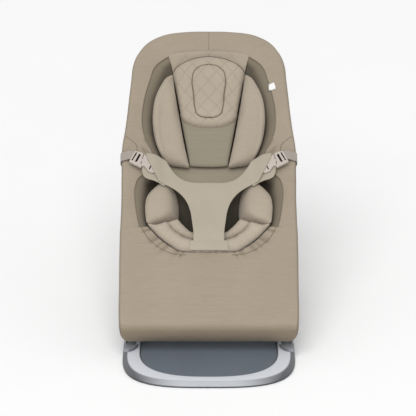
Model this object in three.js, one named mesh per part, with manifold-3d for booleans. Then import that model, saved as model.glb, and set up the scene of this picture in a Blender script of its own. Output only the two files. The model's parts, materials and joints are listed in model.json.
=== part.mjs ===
// Baby bouncer seat: a fabric sling on a bent-tube seat frame, carried by two springy arms over a low
// flat base ring. Millimetres, +Z up, +Y towards the head end, +X to the right seen from the foot end.
import * as THREE from "three";
import Module from "manifold-3d";
import { mergeVertices } from "three/addons/utils/BufferGeometryUtils.js";

const wasm = await Module();
wasm.setup();

const rad = THREE.MathUtils.degToRad;
const GAP = 0.3; // clearance between pieces that touch

// ---------- driving dimensions ----------
const ORIGIN_Y = 411.8; // from the front of the base ring back to the middle of the whole outline

const RING = { halfWidth: 213, length: 650, end: 181, rail: 43, slope: 11, bottom: 4, top: 16 };
const RING_POWER = { outer: 3.2, inner: 2.6 }; // the ends are superellipses, rounder on the inside
const GRIP = { inset: 1.5, rail: 40, thickness: 3.7 };
const PANEL = { rear: 300, bottom: 6, top: 14, stiffener: 18 };

const PIVOT = { y: 222, z: 46, pin: 4, bore: 4.3 }; // hinge of the seat and of the spring arms
const LINK = 340; // spring arm and strut have the same length between centres
const STRUT_AXIS_Y = PIVOT.y + LINK;
const SLOT_OFFSET = rad(3.5); // the slot line is a little steeper than the seat
const HOUSING = { inner: 174, outer: 210, wall: 6, cap: 4, front: 167, rear: 262, deck: 24, radius: 22 };
const HINGE_CAP = { outer: 213, radius: 13 };
const STOP = { y: 530, top: 9, foot: 10, height: 6.2 };
const SPRING_ARM = { x: 188, inner: 184, outer: 192, radius: 7, eye: 12, eyeReach: 34 };
const BEARING = { inner: 182, outer: 196, reach: 17, half: 11, bore: 7.4 };
const STRUT = { end: 198, tube: 7, leg: 6, legX: 174, pin: 4, pinEnd: 191.8, overrun: 10 };
const KNUCKLE = { inner: 197, outer: 204, arm: 6.5, eye: 11 };
const TRACK = { inner: 186, outer: 191, slot: 4.8, notch: 4, angles: [40, 30, 20] };
const TRACK_CORNERS = [[480, 29], [700, 14], [700, -16], [480, -16]];
const TRACK_LUG = { outer: 214, front: 484, rear: 506, low: 15, high: 26.5 };
const LEVER = { inner: 192.5, outer: 196.5, length: 58, rise: 4, half: 8, bore: 3.3, hub: 30 };

const SEAT_ANGLE = rad(40);
const SEAT_ORIGIN = { y: 160, z: 100 }; // s = 0, h = 0 of the seat plane
const TUBE_RADIUS = 8;
const TUBE_DROP = 15; // tube centre below the cover's face
const TUBE_INSET = 13.5; // tube centre inside the cover's edge
const FOOT = { s: 16.2, radius: 43 }; // the cover rolls round the foot end
const HEAD_ROLL = { s: 841, radius: 15 };
const COVER_THICKNESS = 3;
const PAD_LIFT = 4; // pads rest this far above the sling's face
// The sling hangs in the cover's opening, from its front edge up to this arc over the head.
const SLING = { low: 184, thickness: 3, arc: [[108, 774], [90, 779], [62, 782], [26, 784]] };
// Seams across, up the seat: the cover's lies at its side seams, the sling's at the bend of the hips.
const SEAM = { cover: 510, sling: 363, reach: 300, far: 900 };

// Half width of the cover's outline along the seat, at distance q up the seat.
const OUTLINE = [
  [-82, 206], [-69, 209], [-41, 218], [16, 222], [140, 224], [309, 222], [484, 224], [538, 219],
  [610, 211], [665, 207], [720, 202], [757, 198], [794, 183], [815, 168], [832, 148], [845, 118],
  [856, 78], [862, 66],
];
// Half width of the body-shaped opening in the cover.
const OPENING = [
  [-82, 120], [180, 110], [194, 108], [207, 121], [229, 146], [266, 168], [300, 180], [344, 186],
  [402, 183], [416, 169], [477, 140], [514, 157], [551, 169], [589, 172], [657, 165], [702, 154],
  [749, 138], [774, 108], [862, 30],
];
// Depth of the sling below the seat plane along its middle.
const SLING_DEPTH = [
  [-82, 0], [60, 2], [176, 4], [184, 4.4], [190, 40], [200, 75], [215, 95], [245, 98], [290, 98],
  [312, 84], [338, 66], [363, 63], [450, 60], [550, 52], [650, 40], [720, 28], [768, 8], [805, 0],
  [862, 0],
];
// Dip of the cover at the edge of the opening.
const EDGE_DIP = [[-82, 0], [60, 2], [176, 4], [230, 8], [749, 8], [805, 0], [862, 0]];
// Outer half width of the padded wings of the insert.
const WING_OUTER = [
  [446, 60], [457, 109], [470, 121], [507, 136], [552, 145], [593, 145], [641, 139], [680, 124],
  [718, 102], [726, 98],
];
const PILLOW_HALF = [[592, 16], [600, 29], [619, 36], [665, 41], [707, 43], [726, 36], [740, 18]];

// ---------- materials ----------
function finish(color, roughness, metalness = 0) {
  return new THREE.MeshStandardMaterial({ color, roughness, metalness });
}
const aluminium = finish(0xbec1c6, 0.35, 1);
const steel = finish(0x8f9296, 0.35, 1);
const slatePanel = finish(0x656c76, 0.8);
const darkRubber = finish(0x2f3032, 0.9);
const silverPlastic = finish(0xb9bcc1, 0.45);
const darkPlastic = finish(0x3c3f44, 0.6);
const blackFrame = finish(0x2b2c2e, 0.5);
const coverFabric = finish(0xaea190, 0.95);
const liningFabric = finish(0x867b69, 0.95);
const insertFabric = finish(0xafa38f, 0.95);
const backFabric = finish(0x9c9181, 0.95);
const bibFabric = finish(0xb6ad9c, 0.9);
const webbing = finish(0xbfb5a6, 0.85);
const bucklePlastic = finish(0xc4bab0, 0.5);
const white = finish(0xeeeeea, 0.8);

// ---------- small tools ----------
// Straight-line interpolation in a list of [position, value] pairs.
function along(table, at) {
  const last = table.length - 1;
  const i = Math.max(1, table.findIndex(([p]) => p >= at));
  const [p0, v0] = table[at >= table[last][0] ? last - 1 : i - 1];
  const [p1, v1] = table[at >= table[last][0] ? last : i];
  return THREE.MathUtils.clamp((at - p0) / (p1 - p0), 0, 1) * (v1 - v0) + v0;
}

function addPart(parent, name, geometry, material) {
  const mesh = new THREE.Mesh(geometry, material);
  mesh.name = name;
  parent.add(mesh);
  return mesh;
}

function group(parent, position = [0, 0, 0], rotation = [0, 0, 0]) {
  const made = new THREE.Group();
  made.position.set(...position);
  made.rotation.set(...rotation);
  parent.add(made);
  return made;
}

// Calls build(half, side) for the right side and for its mirror image on the left.
function bothSides(parent, build) {
  for (const [side, sign] of [["left", -1], ["right", 1]]) {
    const half = group(parent);
    half.scale.x = sign;
    build(half, side);
  }
}

// A closed sheet, pad or ring. place(u, v, face) gives the point at u across and v along, both 0 to 1,
// on its lower face (0) or upper face (1). A ring joins its last row to its first.
function slab(cols, rows, place, ring = false) {
  const rowCount = ring ? rows : rows + 1;
  const positions = [];
  for (const face of [0, 1]) {
    for (let j = 0; j < rowCount; j++) {
      for (let i = 0; i <= cols; i++) positions.push(...place(i / cols, j / rows, face));
    }
  }
  const id = (face, i, j) => (face * rowCount + (j % rowCount)) * (cols + 1) + i;
  const index = [];
  const quad = (a, b, c, d) => index.push(a, b, c, a, c, d);
  for (let j = 0; j < rows; j++) {
    for (let i = 0; i < cols; i++) {
      quad(id(1, i, j), id(1, i + 1, j), id(1, i + 1, j + 1), id(1, i, j + 1));
      quad(id(0, i, j), id(0, i, j + 1), id(0, i + 1, j + 1), id(0, i + 1, j));
    }
    quad(id(0, 0, j + 1), id(0, 0, j), id(1, 0, j), id(1, 0, j + 1));
    quad(id(0, cols, j), id(0, cols, j + 1), id(1, cols, j + 1), id(1, cols, j));
  }
  for (let i = 0; i < cols && !ring; i++) {
    quad(id(0, i, 0), id(0, i + 1, 0), id(1, i + 1, 0), id(1, i, 0));
    quad(id(0, i + 1, rows), id(0, i, rows), id(1, i, rows), id(1, i + 1, rows));
  }
  const geometry = new THREE.BufferGeometry();
  geometry.setAttribute("position", new THREE.Float32BufferAttribute(positions, 3));
  geometry.setIndex(index);
  geometry.computeVertexNormals();
  return geometry;
}

function circle(radius, x = 0, y = 0) {
  return new THREE.Shape().absarc(x, y, radius, 0, 2 * Math.PI, false);
}

// A round bar or tube along a list of [x, y, z] points.
function rod(points, radius, steps, sides = 12) {
  const path = new THREE.CatmullRomCurve3(points.map((p) => new THREE.Vector3(...p)), false, "centripetal");
  const options = { extrudePath: path, steps, curveSegments: sides / 2, bevelEnabled: false };
  return new THREE.ExtrudeGeometry(circle(radius), options);
}

// A flat outline in the Y-Z plane, thickened from x0 to x1.
function sidePlate(shape, x0, x1, curveSegments = 8) {
  const geometry = new THREE.ExtrudeGeometry(shape, { depth: x1 - x0, curveSegments, bevelEnabled: false });
  const turn = new THREE.Matrix4().makeBasis(
    new THREE.Vector3(0, 1, 0), new THREE.Vector3(0, 0, 1), new THREE.Vector3(1, 0, 0),
  );
  return geometry.applyMatrix4(turn).translate(x0, 0, 0);
}

// A flat outline in the X-Y plane, thickened from z0 to z1.
function flatPlate(shape, z0, z1, curveSegments = 10) {
  const options = { depth: z1 - z0, curveSegments, bevelEnabled: false };
  return new THREE.ExtrudeGeometry(shape, options).translate(0, 0, z0);
}

function box(x0, x1, y0, y1, z0, z1) {
  const geometry = new THREE.BoxGeometry(x1 - x0, y1 - y0, z1 - z0);
  return geometry.translate((x0 + x1) / 2, (y0 + y1) / 2, (z0 + z1) / 2);
}

// A cylinder whose axis runs along X.
function crossRod(x0, x1, y, z, radius, sides = 20) {
  return sidePlate(circle(radius, y, z), x0, x1, sides / 2);
}

// A bar with round ends between two points of its plane.
function barShape(a, b, radius) {
  const angle = Math.atan2(b[1] - a[1], b[0] - a[0]);
  const quarter = Math.PI / 2;
  return new THREE.Shape()
    .absarc(b[0], b[1], radius, angle - quarter, angle + quarter, false)
    .absarc(a[0], a[1], radius, angle + quarter, angle + 3 * quarter, false);
}

function toSolid(geometry) {
  const bare = geometry.clone();
  bare.deleteAttribute("normal");
  bare.deleteAttribute("uv");
  const merged = mergeVertices(bare, 1e-3);
  const vertProperties = new Float32Array(merged.attributes.position.array);
  const triVerts = new Uint32Array(merged.index.array);
  return new wasm.Manifold(new wasm.Mesh({ numProp: 3, vertProperties, triVerts }));
}

function fromSolid(solid) {
  const mesh = solid.getMesh();
  const geometry = new THREE.BufferGeometry();
  geometry.setAttribute("position", new THREE.BufferAttribute(new Float32Array(mesh.vertProperties), 3));
  geometry.setIndex(new THREE.BufferAttribute(new Uint32Array(mesh.triVerts), 1));
  geometry.computeVertexNormals();
  return geometry;
}

function join(...geometries) {
  return fromSolid(geometries.map(toSolid).reduce((sum, solid) => sum.add(solid)));
}

function cut(geometry, ...tools) {
  return fromSolid(tools.map(toSolid).reduce((rest, tool) => rest.subtract(tool), toSolid(geometry)));
}

// ---------- base ----------
// A point at the given angle round the ring, set in by inset from its widest outline. Each end is half
// a superellipse, and the sides between them are straight.
function ringPoint(angle, inset) {
  const power = THREE.MathUtils.lerp(RING_POWER.outer, RING_POWER.inner, inset / RING.rail);
  const swing = (value) => Math.sign(value) * Math.abs(value) ** (2 / power);
  const x = (RING.halfWidth - inset) * swing(Math.cos(angle));
  const y = (RING.end - inset * 0.75) * swing(Math.sin(angle));
  const centre = Math.sin(angle) < 0 ? RING.end : RING.length - RING.end;
  return [x, y + centre];
}

// Angles round the ring, closer together where the corners turn most.
const RING_ANGLES = [];
for (let quarter = 0; quarter < 4; quarter++) {
  for (const step of [0.5, 7, 18, 30, 42, 54, 66, 78, 89.5]) RING_ANGLES.push(rad(90 * quarter + step));
}

// A rail round the whole ring, between two insets, which may differ on its lower and upper faces.
function ringRail(outer, inner, z0, z1) {
  const last = RING_ANGLES.length;
  return slab(1, last, (u, v, face) => {
    const angle = RING_ANGLES[Math.round(v * last) % last];
    const [x, y] = ringPoint(angle, u === 0 ? inner : outer[face]);
    return [x, y, face ? z1 : z0];
  }, true);
}

// Outline of the front part of the ring's inside, back to the given distance.
function innerOutline(inset, rear) {
  const front = RING_ANGLES.filter((angle) => angle > Math.PI).map((angle) => ringPoint(angle, inset));
  const halfX = RING.halfWidth - inset;
  const points = [[halfX, rear], [-halfX, rear], ...front];
  return new THREE.Shape(points.map((p) => new THREE.Vector2(...p)));
}

function housingFootprint() {
  return new THREE.Shape()
    .moveTo(HOUSING.outer, HOUSING.front)
    .lineTo(HOUSING.outer, HOUSING.rear)
    .lineTo(HOUSING.inner, HOUSING.rear)
    .lineTo(HOUSING.inner, 216)
    .absellipse(HOUSING.inner + 31, 216, 31, 49, Math.PI, 1.5 * Math.PI, false);
}

function buildHousing() {
  const floor = RING.top + GAP;
  const { inner, outer, wall, cap, radius } = HOUSING;
  const deck = flatPlate(housingFootprint(), floor, HOUSING.deck);
  const cheek = (x0, x1) => join(
    crossRod(x0, x1, PIVOT.y, PIVOT.z, radius, 28),
    box(x0, x1, PIVOT.y - radius, PIVOT.y + radius, floor + wall / 2, PIVOT.z),
  );
  const body = join(deck, cheek(inner, inner + wall), cheek(outer - cap, outer));
  return cut(body, crossRod(inner - 1, outer + 1, PIVOT.y, PIVOT.z, PIVOT.bore));
}

function buildBase(parent) {
  addPart(parent, "base_ring", ringRail([0, RING.slope], RING.rail, RING.bottom, RING.top), aluminium);
  const strip = ringRail([GRIP.inset, GRIP.inset], GRIP.inset + GRIP.rail, 0, GRIP.thickness);
  addPart(parent, "grip_strip", strip, darkRubber);
  const panel = flatPlate(innerOutline(RING.rail + 3 * GAP, PANEL.rear), PANEL.bottom, PANEL.top);
  addPart(parent, "base_panel", panel, slatePanel);
  const reach = RING.halfWidth - RING.rail - 3 * GAP;
  const rear = PANEL.rear + GAP;
  const stiffener = box(-reach, reach, rear, rear + PANEL.stiffener, RING.bottom, PANEL.top);
  addPart(parent, "panel_stiffener", stiffener, aluminium);
  bothSides(parent, (half, side) => {
    addPart(half, `hinge_housing_${side}`, buildHousing(), silverPlastic);
    const { inner, outer } = HOUSING;
    const pin = crossRod(inner + 0.5, outer - 0.5, PIVOT.y, PIVOT.z, PIVOT.pin);
    addPart(half, `hinge_pin_${side}`, pin, steel);
    const cap = crossRod(outer + GAP, HINGE_CAP.outer, PIVOT.y, PIVOT.z, HINGE_CAP.radius, 24);
    addPart(half, `hinge_cap_${side}`, cap, silverPlastic);
    const stop = new THREE.CylinderGeometry(STOP.top, STOP.foot, STOP.height, 20).rotateX(Math.PI / 2);
    const stopZ = RING.top + GAP + STOP.height / 2;
    addPart(half, `bump_stop_${side}`, stop.translate(SPRING_ARM.x, STOP.y, stopZ), darkRubber);
  });
}

// ---------- spring frame and strut ----------
function buildSpringFrame(parent) {
  bothSides(parent, (half, side) => {
    const { x, inner, outer, eyeReach } = SPRING_ARM;
    const bar = barShape([PIVOT.y, PIVOT.z], [PIVOT.y + eyeReach, PIVOT.z], SPRING_ARM.eye);
    const front = [x, PIVOT.y + eyeReach - 4, PIVOT.z];
    const rear = [x, STRUT_AXIS_Y - BEARING.reach - GAP, PIVOT.z];
    const arm = join(sidePlate(bar, inner, outer), rod([front, rear], SPRING_ARM.radius, 1, 16));
    const hole = crossRod(inner - 1, outer + 1, PIVOT.y, PIVOT.z, PIVOT.bore);
    addPart(half, `spring_arm_${side}`, cut(arm, hole), steel);
    const [low, high] = [PIVOT.z - BEARING.half, PIVOT.z + BEARING.half];
    const [near, far] = [STRUT_AXIS_Y - BEARING.reach, STRUT_AXIS_Y + BEARING.reach];
    const block = box(BEARING.inner, BEARING.outer, near, far, low, high);
    const bore = crossRod(BEARING.inner - 1, BEARING.outer + 1, STRUT_AXIS_Y, PIVOT.z, BEARING.bore);
    addPart(half, `strut_bearing_${side}`, cut(block, bore), darkPlastic);
  });
}

function buildStrut(parent) {
  const axis = [STRUT_AXIS_Y, PIVOT.z];
  addPart(parent, "strut_cross_tube", crossRod(-STRUT.end, STRUT.end, ...axis, STRUT.tube, 16), steel);
  const angle = 2 * (SEAT_ANGLE + SLOT_OFFSET);
  const at = (d) => [axis[0] + d * Math.cos(angle), axis[1] + d * Math.sin(angle)];
  bothSides(parent, (half, side) => {
    const foot = [STRUT.legX, ...at(STRUT.tube + 0.5)];
    const leg = rod([foot, [STRUT.legX, ...at(LINK + STRUT.overrun)]], STRUT.leg, 1, 16);
    addPart(half, `strut_leg_${side}`, leg, steel);
    const pin = crossRod(STRUT.legX + STRUT.leg + GAP, STRUT.pinEnd, ...at(LINK), STRUT.pin);
    addPart(half, `slide_pin_${side}`, pin, steel);
  });
}

// ---------- seat frame ----------
// A point of the seat's skin at distance q up the seat, with its outward normal, in the s-h plane.
function skinAt(q) {
  let start = null;
  if (q < FOOT.s) start = { s: FOOT.s, radius: FOOT.radius };
  if (q > HEAD_ROLL.s) start = HEAD_ROLL;
  if (!start) return { s: q, h: 0, ns: 0, nh: 1 };
  const a = (q - start.s) / start.radius;
  const [ns, nh] = [Math.sin(a), Math.cos(a)];
  return { s: start.s + start.radius * ns, h: start.radius * (nh - 1), ns, nh };
}

function tubePoint(q) {
  const skin = skinAt(q);
  const x = along(OUTLINE, q) - TUBE_INSET;
  return [x, skin.s - skin.ns * TUBE_DROP, skin.h - skin.nh * TUBE_DROP];
}

const TUBE_SPLIT = 640; // the head bow plugs into the side tubes here

function buildSideTube() {
  const points = [TUBE_SPLIT, 610, 560, 538, 484, 400, 309, 200, 140, 80, 40, FOOT.s].map(tubePoint);
  for (let a = 20; a <= 140; a += 20) points.push(tubePoint(FOOT.s - FOOT.radius * rad(a)));
  return rod(points, TUBE_RADIUS, 30);
}

function buildHeadBow() {
  const h = -TUBE_DROP;
  const half = [640.4, 665, 720, 756].map(tubePoint);
  half.push([171, 786, h], [143, 816, h], [108, 829, h], [68, 834, h]);
  const other = half.map(([x, s, z]) => [-x, s, z]).reverse();
  return rod([...half, [0, HEAD_ROLL.s - 5, h], ...other], TUBE_RADIUS, 36);
}

function buildFootFormer() {
  return slab(2, 12, (u, v, face) => {
    const skin = skinAt(FOOT.s - FOOT.radius * rad(5 + 105 * (1 - v)));
    const depth = face ? 7 : 9.5;
    return [(u - 0.5) * 364, skin.s - skin.ns * depth, skin.h - skin.nh * depth];
  });
}

// Outline of the recline slot: a long hole with round ends and three scallops along its upper edge.
function slotHole(from, to, halfWidth, notches) {
  const hole = new THREE.Path().absarc(from, 0, halfWidth, Math.PI / 2, 1.5 * Math.PI, false);
  hole.absarc(to, 0, halfWidth, -Math.PI / 2, Math.PI / 2, false);
  for (const notch of [...notches].reverse()) {
    hole.absarc(notch, halfWidth, TRACK.notch, 0, Math.PI, false);
  }
  return hole;
}

const slotReach = (seatAngle) => 2 * LINK * Math.cos(seatAngle + SLOT_OFFSET);

function buildTrack() {
  const shape = new THREE.Shape(TRACK_CORNERS.map((p) => new THREE.Vector2(...p)));
  const notches = TRACK.angles.map((angle) => slotReach(rad(angle)));
  shape.holes.push(slotHole(slotReach(SEAT_ANGLE), slotReach(0), TRACK.slot, notches));
  const plate = sidePlate(shape, TRACK.inner, TRACK.outer, 10);
  const { outer, front, rear, low, high } = TRACK_LUG;
  return join(plate, box(TRACK.inner + 2, outer, front, rear, low, high));
}

function buildLever() {
  const lever = barShape([0, 0], [LEVER.length, LEVER.rise], LEVER.half);
  lever.holes.push(circle(LEVER.bore));
  return sidePlate(lever, LEVER.inner, LEVER.outer, 12);
}

function buildSeatFrame(parent, pivotFrame) {
  addPart(parent, "head_bow", buildHeadBow(), blackFrame);
  addPart(parent, "foot_former", buildFootFormer(), darkPlastic);
  bothSides(parent, (half, side) => {
    addPart(half, `side_tube_${side}`, buildSideTube(), blackFrame);
  });
  bothSides(pivotFrame, (half, side) => {
    const slotFrame = group(half, [0, 0, 0], [SEAT_ANGLE + SLOT_OFFSET, 0, 0]);
    addPart(slotFrame, `recline_track_${side}`, buildTrack(), steel);
    const { inner, outer } = KNUCKLE;
    const arm = sidePlate(barShape([-12.5, 3], [0, 0], KNUCKLE.arm), inner, outer);
    const eye = crossRod(inner, outer, 0, 0, KNUCKLE.eye, 24);
    const hole = crossRod(inner - 1, outer + 1, 0, 0, PIVOT.bore);
    addPart(half, `seat_knuckle_${side}`, cut(join(arm, eye), hole), steel);
  });
}

// ---------- fabric cover ----------
function smooth(t) {
  const c = THREE.MathUtils.clamp(t, 0, 1);
  return c * c * (3 - 2 * c);
}

// Height of the cover's face over the seat plane at x across and s up the seat.
function coverHeight(x, s) {
  const opening = along(OPENING, s);
  const edge = along(EDGE_DIP, s);
  const width = along(OUTLINE, s);
  const across = Math.abs(x);
  if (across >= opening) return (-edge * Math.max(0, width - across)) / (width - opening);
  const bowl = Math.max(0, along(SLING_DEPTH, s) - edge);
  return -edge - bowl * smooth((opening - across) / (0.4 * opening));
}

// Columns on each side of the middle: fractions of the opening, then of the band of cover round it, then
// the skirt that hangs outside the tube, as [distance inside the edge, height, sideways normal].
const INSIDE = [0, 0.3, 0.6, 0.74, 0.88, 1];
const BAND = [0.5, 1];
const SKIRT = [[1.4, -2, 0.75], [0, -7, 1], [0, -15, 1], [0.6, -24, 1]];
const SIDE_COLUMNS = INSIDE.length - 1 + BAND.length + SKIRT.length;

function coverPoint(column, q, face) {
  const side = Math.sign(column);
  const step = Math.abs(column);
  const width = along(OUTLINE, q);
  const opening = along(OPENING, q);
  const skin = skinAt(q);
  const skirt = SKIRT[step - INSIDE.length - BAND.length];
  const band = BAND[step - INSIDE.length];
  let x = opening * INSIDE[step];
  if (band) x = opening + band * (width - 5 - opening);
  let h = coverHeight(Math.max(x, opening), q);
  let sideways = 0;
  const hang = q > HEAD_ROLL.s ? 0.5 : 1; // a shorter skirt where the cover rolls over the head bow
  if (skirt) [x, h, sideways] = [width - skirt[0], skirt[1] * hang, skirt[2]];
  const drop = face ? 0 : COVER_THICKNESS;
  const lift = h - drop * Math.sqrt(1 - sideways * sideways);
  return [side * (x - drop * sideways), skin.s + skin.ns * lift, skin.h + skin.nh * lift];
}

// Where the cover's rows lie up the seat: each bend of the sling's depth, and steps between them.
function coverRows() {
  const rows = SLING_DEPTH.map(([q]) => q);
  for (let a = 15; a < 130; a += 22) rows.push(FOOT.s - FOOT.radius * rad(a));
  rows.push(16, 118, 266, 402, 425, 477, 500, 525, 589, 620, 685, 745, 790, 820, 832, 845, 854);
  return rows.sort((a, b) => a - b);
}

// The cover is flat over the frame, with the opening that the sling hangs in cut through it. A seam
// across joins its front panel to its head panel.
function buildCover() {
  const rows = coverRows();
  const last = rows.length - 1;
  const sheet = slab(2 * SIDE_COLUMNS, last, (u, v, face) => {
    return coverPoint(Math.round((2 * u - 1) * SIDE_COLUMNS), rows[Math.round(v * last)], face);
  });
  const sides = OPENING.filter(([q]) => q > SLING.low && q < SLING.arc[0][1]);
  const right = [[along(OPENING, SLING.low), SLING.low], ...sides.map(([q, x]) => [x, q]), ...SLING.arc];
  const outline = [...right, ...right.map(([x, q]) => [-x, q]).reverse()];
  const hole = flatPlate(new THREE.Shape(outline.map((p) => new THREE.Vector2(...p))), -30, 20);
  const below = box(-SEAM.reach, SEAM.reach, -SEAM.reach, SEAM.cover + GAP, -SEAM.reach, SEAM.reach);
  const above = box(-SEAM.reach, SEAM.reach, SEAM.cover, SEAM.far, -SEAM.reach, SEAM.reach);
  return { front: cut(sheet, hole, above), head: cut(sheet, hole, below) };
}

// Half width of the sling at distance q up the seat.
function slingHalf(q) {
  if (q < SLING.arc[0][1]) return along(OPENING, q) - GAP;
  return along(SLING.arc.map(([x, s]) => [s, x]), q + GAP) - GAP;
}

// The lining that hangs in the opening as a bowl, from the foot side's edge to the arc at the head, in
// rows from one distance up the seat to another.
function buildSling(from, to) {
  const [, arcStart] = SLING.arc[0];
  const bends = new Set([...SLING_DEPTH, ...OPENING].map(([q]) => q));
  const sides = [...bends].filter((q) => q < arcStart);
  const arc = SLING.arc.map(([, s]) => s - GAP);
  const inner = [...sides, ...arc].filter((q) => q > from && q < to);
  const rows = [from, ...inner, to].sort((a, b) => a - b);
  const columns = INSIDE.length - 1;
  return slab(2 * columns, rows.length - 1, (u, v, face) => {
    const column = Math.round((2 * u - 1) * columns);
    const q = rows[Math.round(v * (rows.length - 1))];
    const x = Math.sign(column) * INSIDE[Math.abs(column)] * slingHalf(q);
    return [x, q, coverHeight(x, q) - (face ? 0 : SLING.thickness)];
  });
}

// ---------- padded insert ----------
const INSERT = { inner0: 48, inner1: 95, s0: 446, s1: 723 };
const innerEdge = (s) => {
  return THREE.MathUtils.mapLinear(s, INSERT.s0, INSERT.s1, INSERT.inner0, INSERT.inner1);
};
const arcTop = (x) => 769 - 40 * (x / 97) ** 2;

// Underside of a pad: it stands a little further off where the sling's side is steep.
function padFloor(x, s) {
  const slope = Math.abs(coverHeight(Math.abs(x) + 3, s) - coverHeight(Math.abs(x) - 3, s)) / 6;
  return coverHeight(x, s) + PAD_LIFT + 4 * slope;
}

// A pad lying in the sling: across(v) and upto(u) give its x range and s position, crown its thickness.
function restingPad(cols, rows, where, thickness, rim = 0.35) {
  return slab(cols, rows, (u, v, face) => {
    const [x, s] = where(u, v);
    const swell = rim + (1 - rim) * Math.sqrt(Math.sin(Math.PI * u) * Math.sin(Math.PI * v));
    return [x, s, padFloor(x, s) + (face ? thickness * swell : 0)];
  });
}

const WING = { low: 450, high: 724, thickness: 28 };
const SUPPORT = { thickness: 26, base: 566, low: 66, high: 92 };
const PILLOW = { low: 592, high: 740, lift: 2, thickness: 13 };
const FLAP = { low: 95, high: 103, top: 789, thickness: 6 };
const BACK_PANEL = { low: 345, high: 560, least: 44, thickness: 8 };
const SEAT_PAD = { half: 56, low: 246, high: 334, thickness: 20 };
const BOLSTER = { inner: 62, low: 306, high: 398, least: 8, rim: -24, crown: 22 };
const BOLSTER_OUTER = [[306, 150], [330, 156], [362, 152], [382, 140], [398, 118]];
const THIGH_ROLL = { radius: 18, steps: 28 };
const supportHeight = (x, s) => padFloor(x, s) + SUPPORT.thickness;

function buildWing() {
  return restingPad(6, 12, (u, v) => {
    const s = THREE.MathUtils.lerp(WING.low, WING.high, v);
    return [THREE.MathUtils.lerp(innerEdge(s), along(WING_OUTER, s), u), s];
  }, WING.thickness);
}

function buildHeadSupport() {
  return restingPad(8, 8, (u, v) => {
    const x = (2 * u - 1) * THREE.MathUtils.lerp(SUPPORT.low, SUPPORT.high, v);
    return [x, THREE.MathUtils.lerp(SUPPORT.base + 18 * (x / 70) ** 2, arcTop(x) - 2, v)];
  }, SUPPORT.thickness);
}

function buildPillow() {
  return slab(6, 8, (u, v, face) => {
    const s = THREE.MathUtils.lerp(PILLOW.low, PILLOW.high, v);
    const x = (2 * u - 1) * along(PILLOW_HALF, s);
    const swell = 0.35 + 0.65 * Math.sqrt(Math.sin(Math.PI * u) * Math.sin(Math.PI * v));
    return [x, s, supportHeight(x, s) + PILLOW.lift + (face ? PILLOW.thickness * swell : 0)];
  });
}

function buildTopFlap() {
  return restingPad(8, 2, (u, v) => {
    const x = (2 * u - 1) * THREE.MathUtils.lerp(FLAP.low, FLAP.high, v);
    return [x, THREE.MathUtils.lerp(arcTop(x) + 1, FLAP.top - 7 * (x / FLAP.high) ** 2, v)];
  }, FLAP.thickness, 0.6);
}

function buildBackPanel() {
  return restingPad(6, 8, (u, v) => {
    const s = THREE.MathUtils.lerp(BACK_PANEL.low, BACK_PANEL.high, v);
    return [(2 * u - 1) * (Math.max(BACK_PANEL.least, innerEdge(s)) - 2), s];
  }, BACK_PANEL.thickness, 0.6);
}

function buildSeatPad() {
  return restingPad(6, 6, (u, v) => {
    return [(2 * u - 1) * SEAT_PAD.half, THREE.MathUtils.lerp(SEAT_PAD.low, SEAT_PAD.high, v)];
  }, SEAT_PAD.thickness);
}

function buildBolster() {
  return slab(5, 6, (u, v, face) => {
    const s = THREE.MathUtils.lerp(BOLSTER.low, BOLSTER.high, v);
    const x = THREE.MathUtils.lerp(BOLSTER.inner, along(BOLSTER_OUTER, s), u);
    const crown = Math.sqrt(Math.sin(Math.PI * u) * Math.sin(Math.PI * v));
    const bottom = padFloor(x, s);
    const top = Math.max(bottom + BOLSTER.least, BOLSTER.rim + BOLSTER.crown * crown);
    return [x, s, face ? top : bottom];
  });
}

function buildThighRoll() {
  const half = [
    [133, 292, -16], [131, 278, -17], [118, 257, -18], [95, 237, -19], [70, 222, -19], [40, 216, -19],
  ];
  const other = half.map(([x, s, h]) => [-x, s, h]).reverse();
  return rod([...half, ...other], THIGH_ROLL.radius, THIGH_ROLL.steps);
}

// ---------- harness ----------
const BIB = { low: 5, high: 9, hinge: { s: 225, h: 4 } };
const BUCKLE = { x: 195, s: 462, h: 9.6, angle: Math.atan2(-50, -58) };

function buildBib() {
  const edge = [
    [39, 227.5], [39, 248], [42, 274], [47, 307], [56, 333], [72, 356], [96, 375], [123, 390], [140, 395],
  ];
  const tab = [[152, 398], [160, 404], [166, 416], [164, 430], [155, 452], [146, 470]];
  const neck = [[109, 455], [98, 433], [83, 412], [62, 396], [42, 390]];
  const right = [...edge, ...tab, ...neck];
  const outline = [...right, ...right.map(([x, s]) => [-x, s]).reverse()];
  return flatPlate(new THREE.Shape(outline.map((p) => new THREE.Vector2(...p))), BIB.low, BIB.high);
}

function buildMale() {
  const body = new THREE.Shape()
    .moveTo(0, -14)
    .lineTo(13, -14)
    .quadraticCurveTo(15, -11, 18, -10.5)
    .lineTo(18, 10.5)
    .quadraticCurveTo(15, 11, 13, 14)
    .lineTo(0, 14);
  const slots = [2.5, 8.5].map((x) => box(x, x + 3, -11.5, 11.5, -1, 9));
  return cut(flatPlate(body, 0, 8, 4), ...slots);
}

function buildProng() {
  const prong = new THREE.Shape()
    .moveTo(18 + GAP, 4.5)
    .lineTo(34, 4.5)
    .lineTo(38, 9)
    .quadraticCurveTo(37, 12.5, 33, 12.5)
    .quadraticCurveTo(26, 12, 24, 9)
    .lineTo(18 + GAP, 9);
  return flatPlate(prong, 1.2, 6.8, 4);
}

function buildFemale() {
  const cap = new THREE.Shape()
    .moveTo(19, -9)
    .quadraticCurveTo(28, -9, 34, -12)
    .quadraticCurveTo(42, -15, 64, -14)
    .quadraticCurveTo(71, -10, 72, 0)
    .quadraticCurveTo(71, 10, 64, 14)
    .quadraticCurveTo(42, 15, 34, 12)
    .quadraticCurveTo(28, 9, 19, 9);
  return join(flatPlate(cap, 8.3, 11.5, 6), box(44, 66, -12.5, 12.5, 0.4, 9));
}

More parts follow.
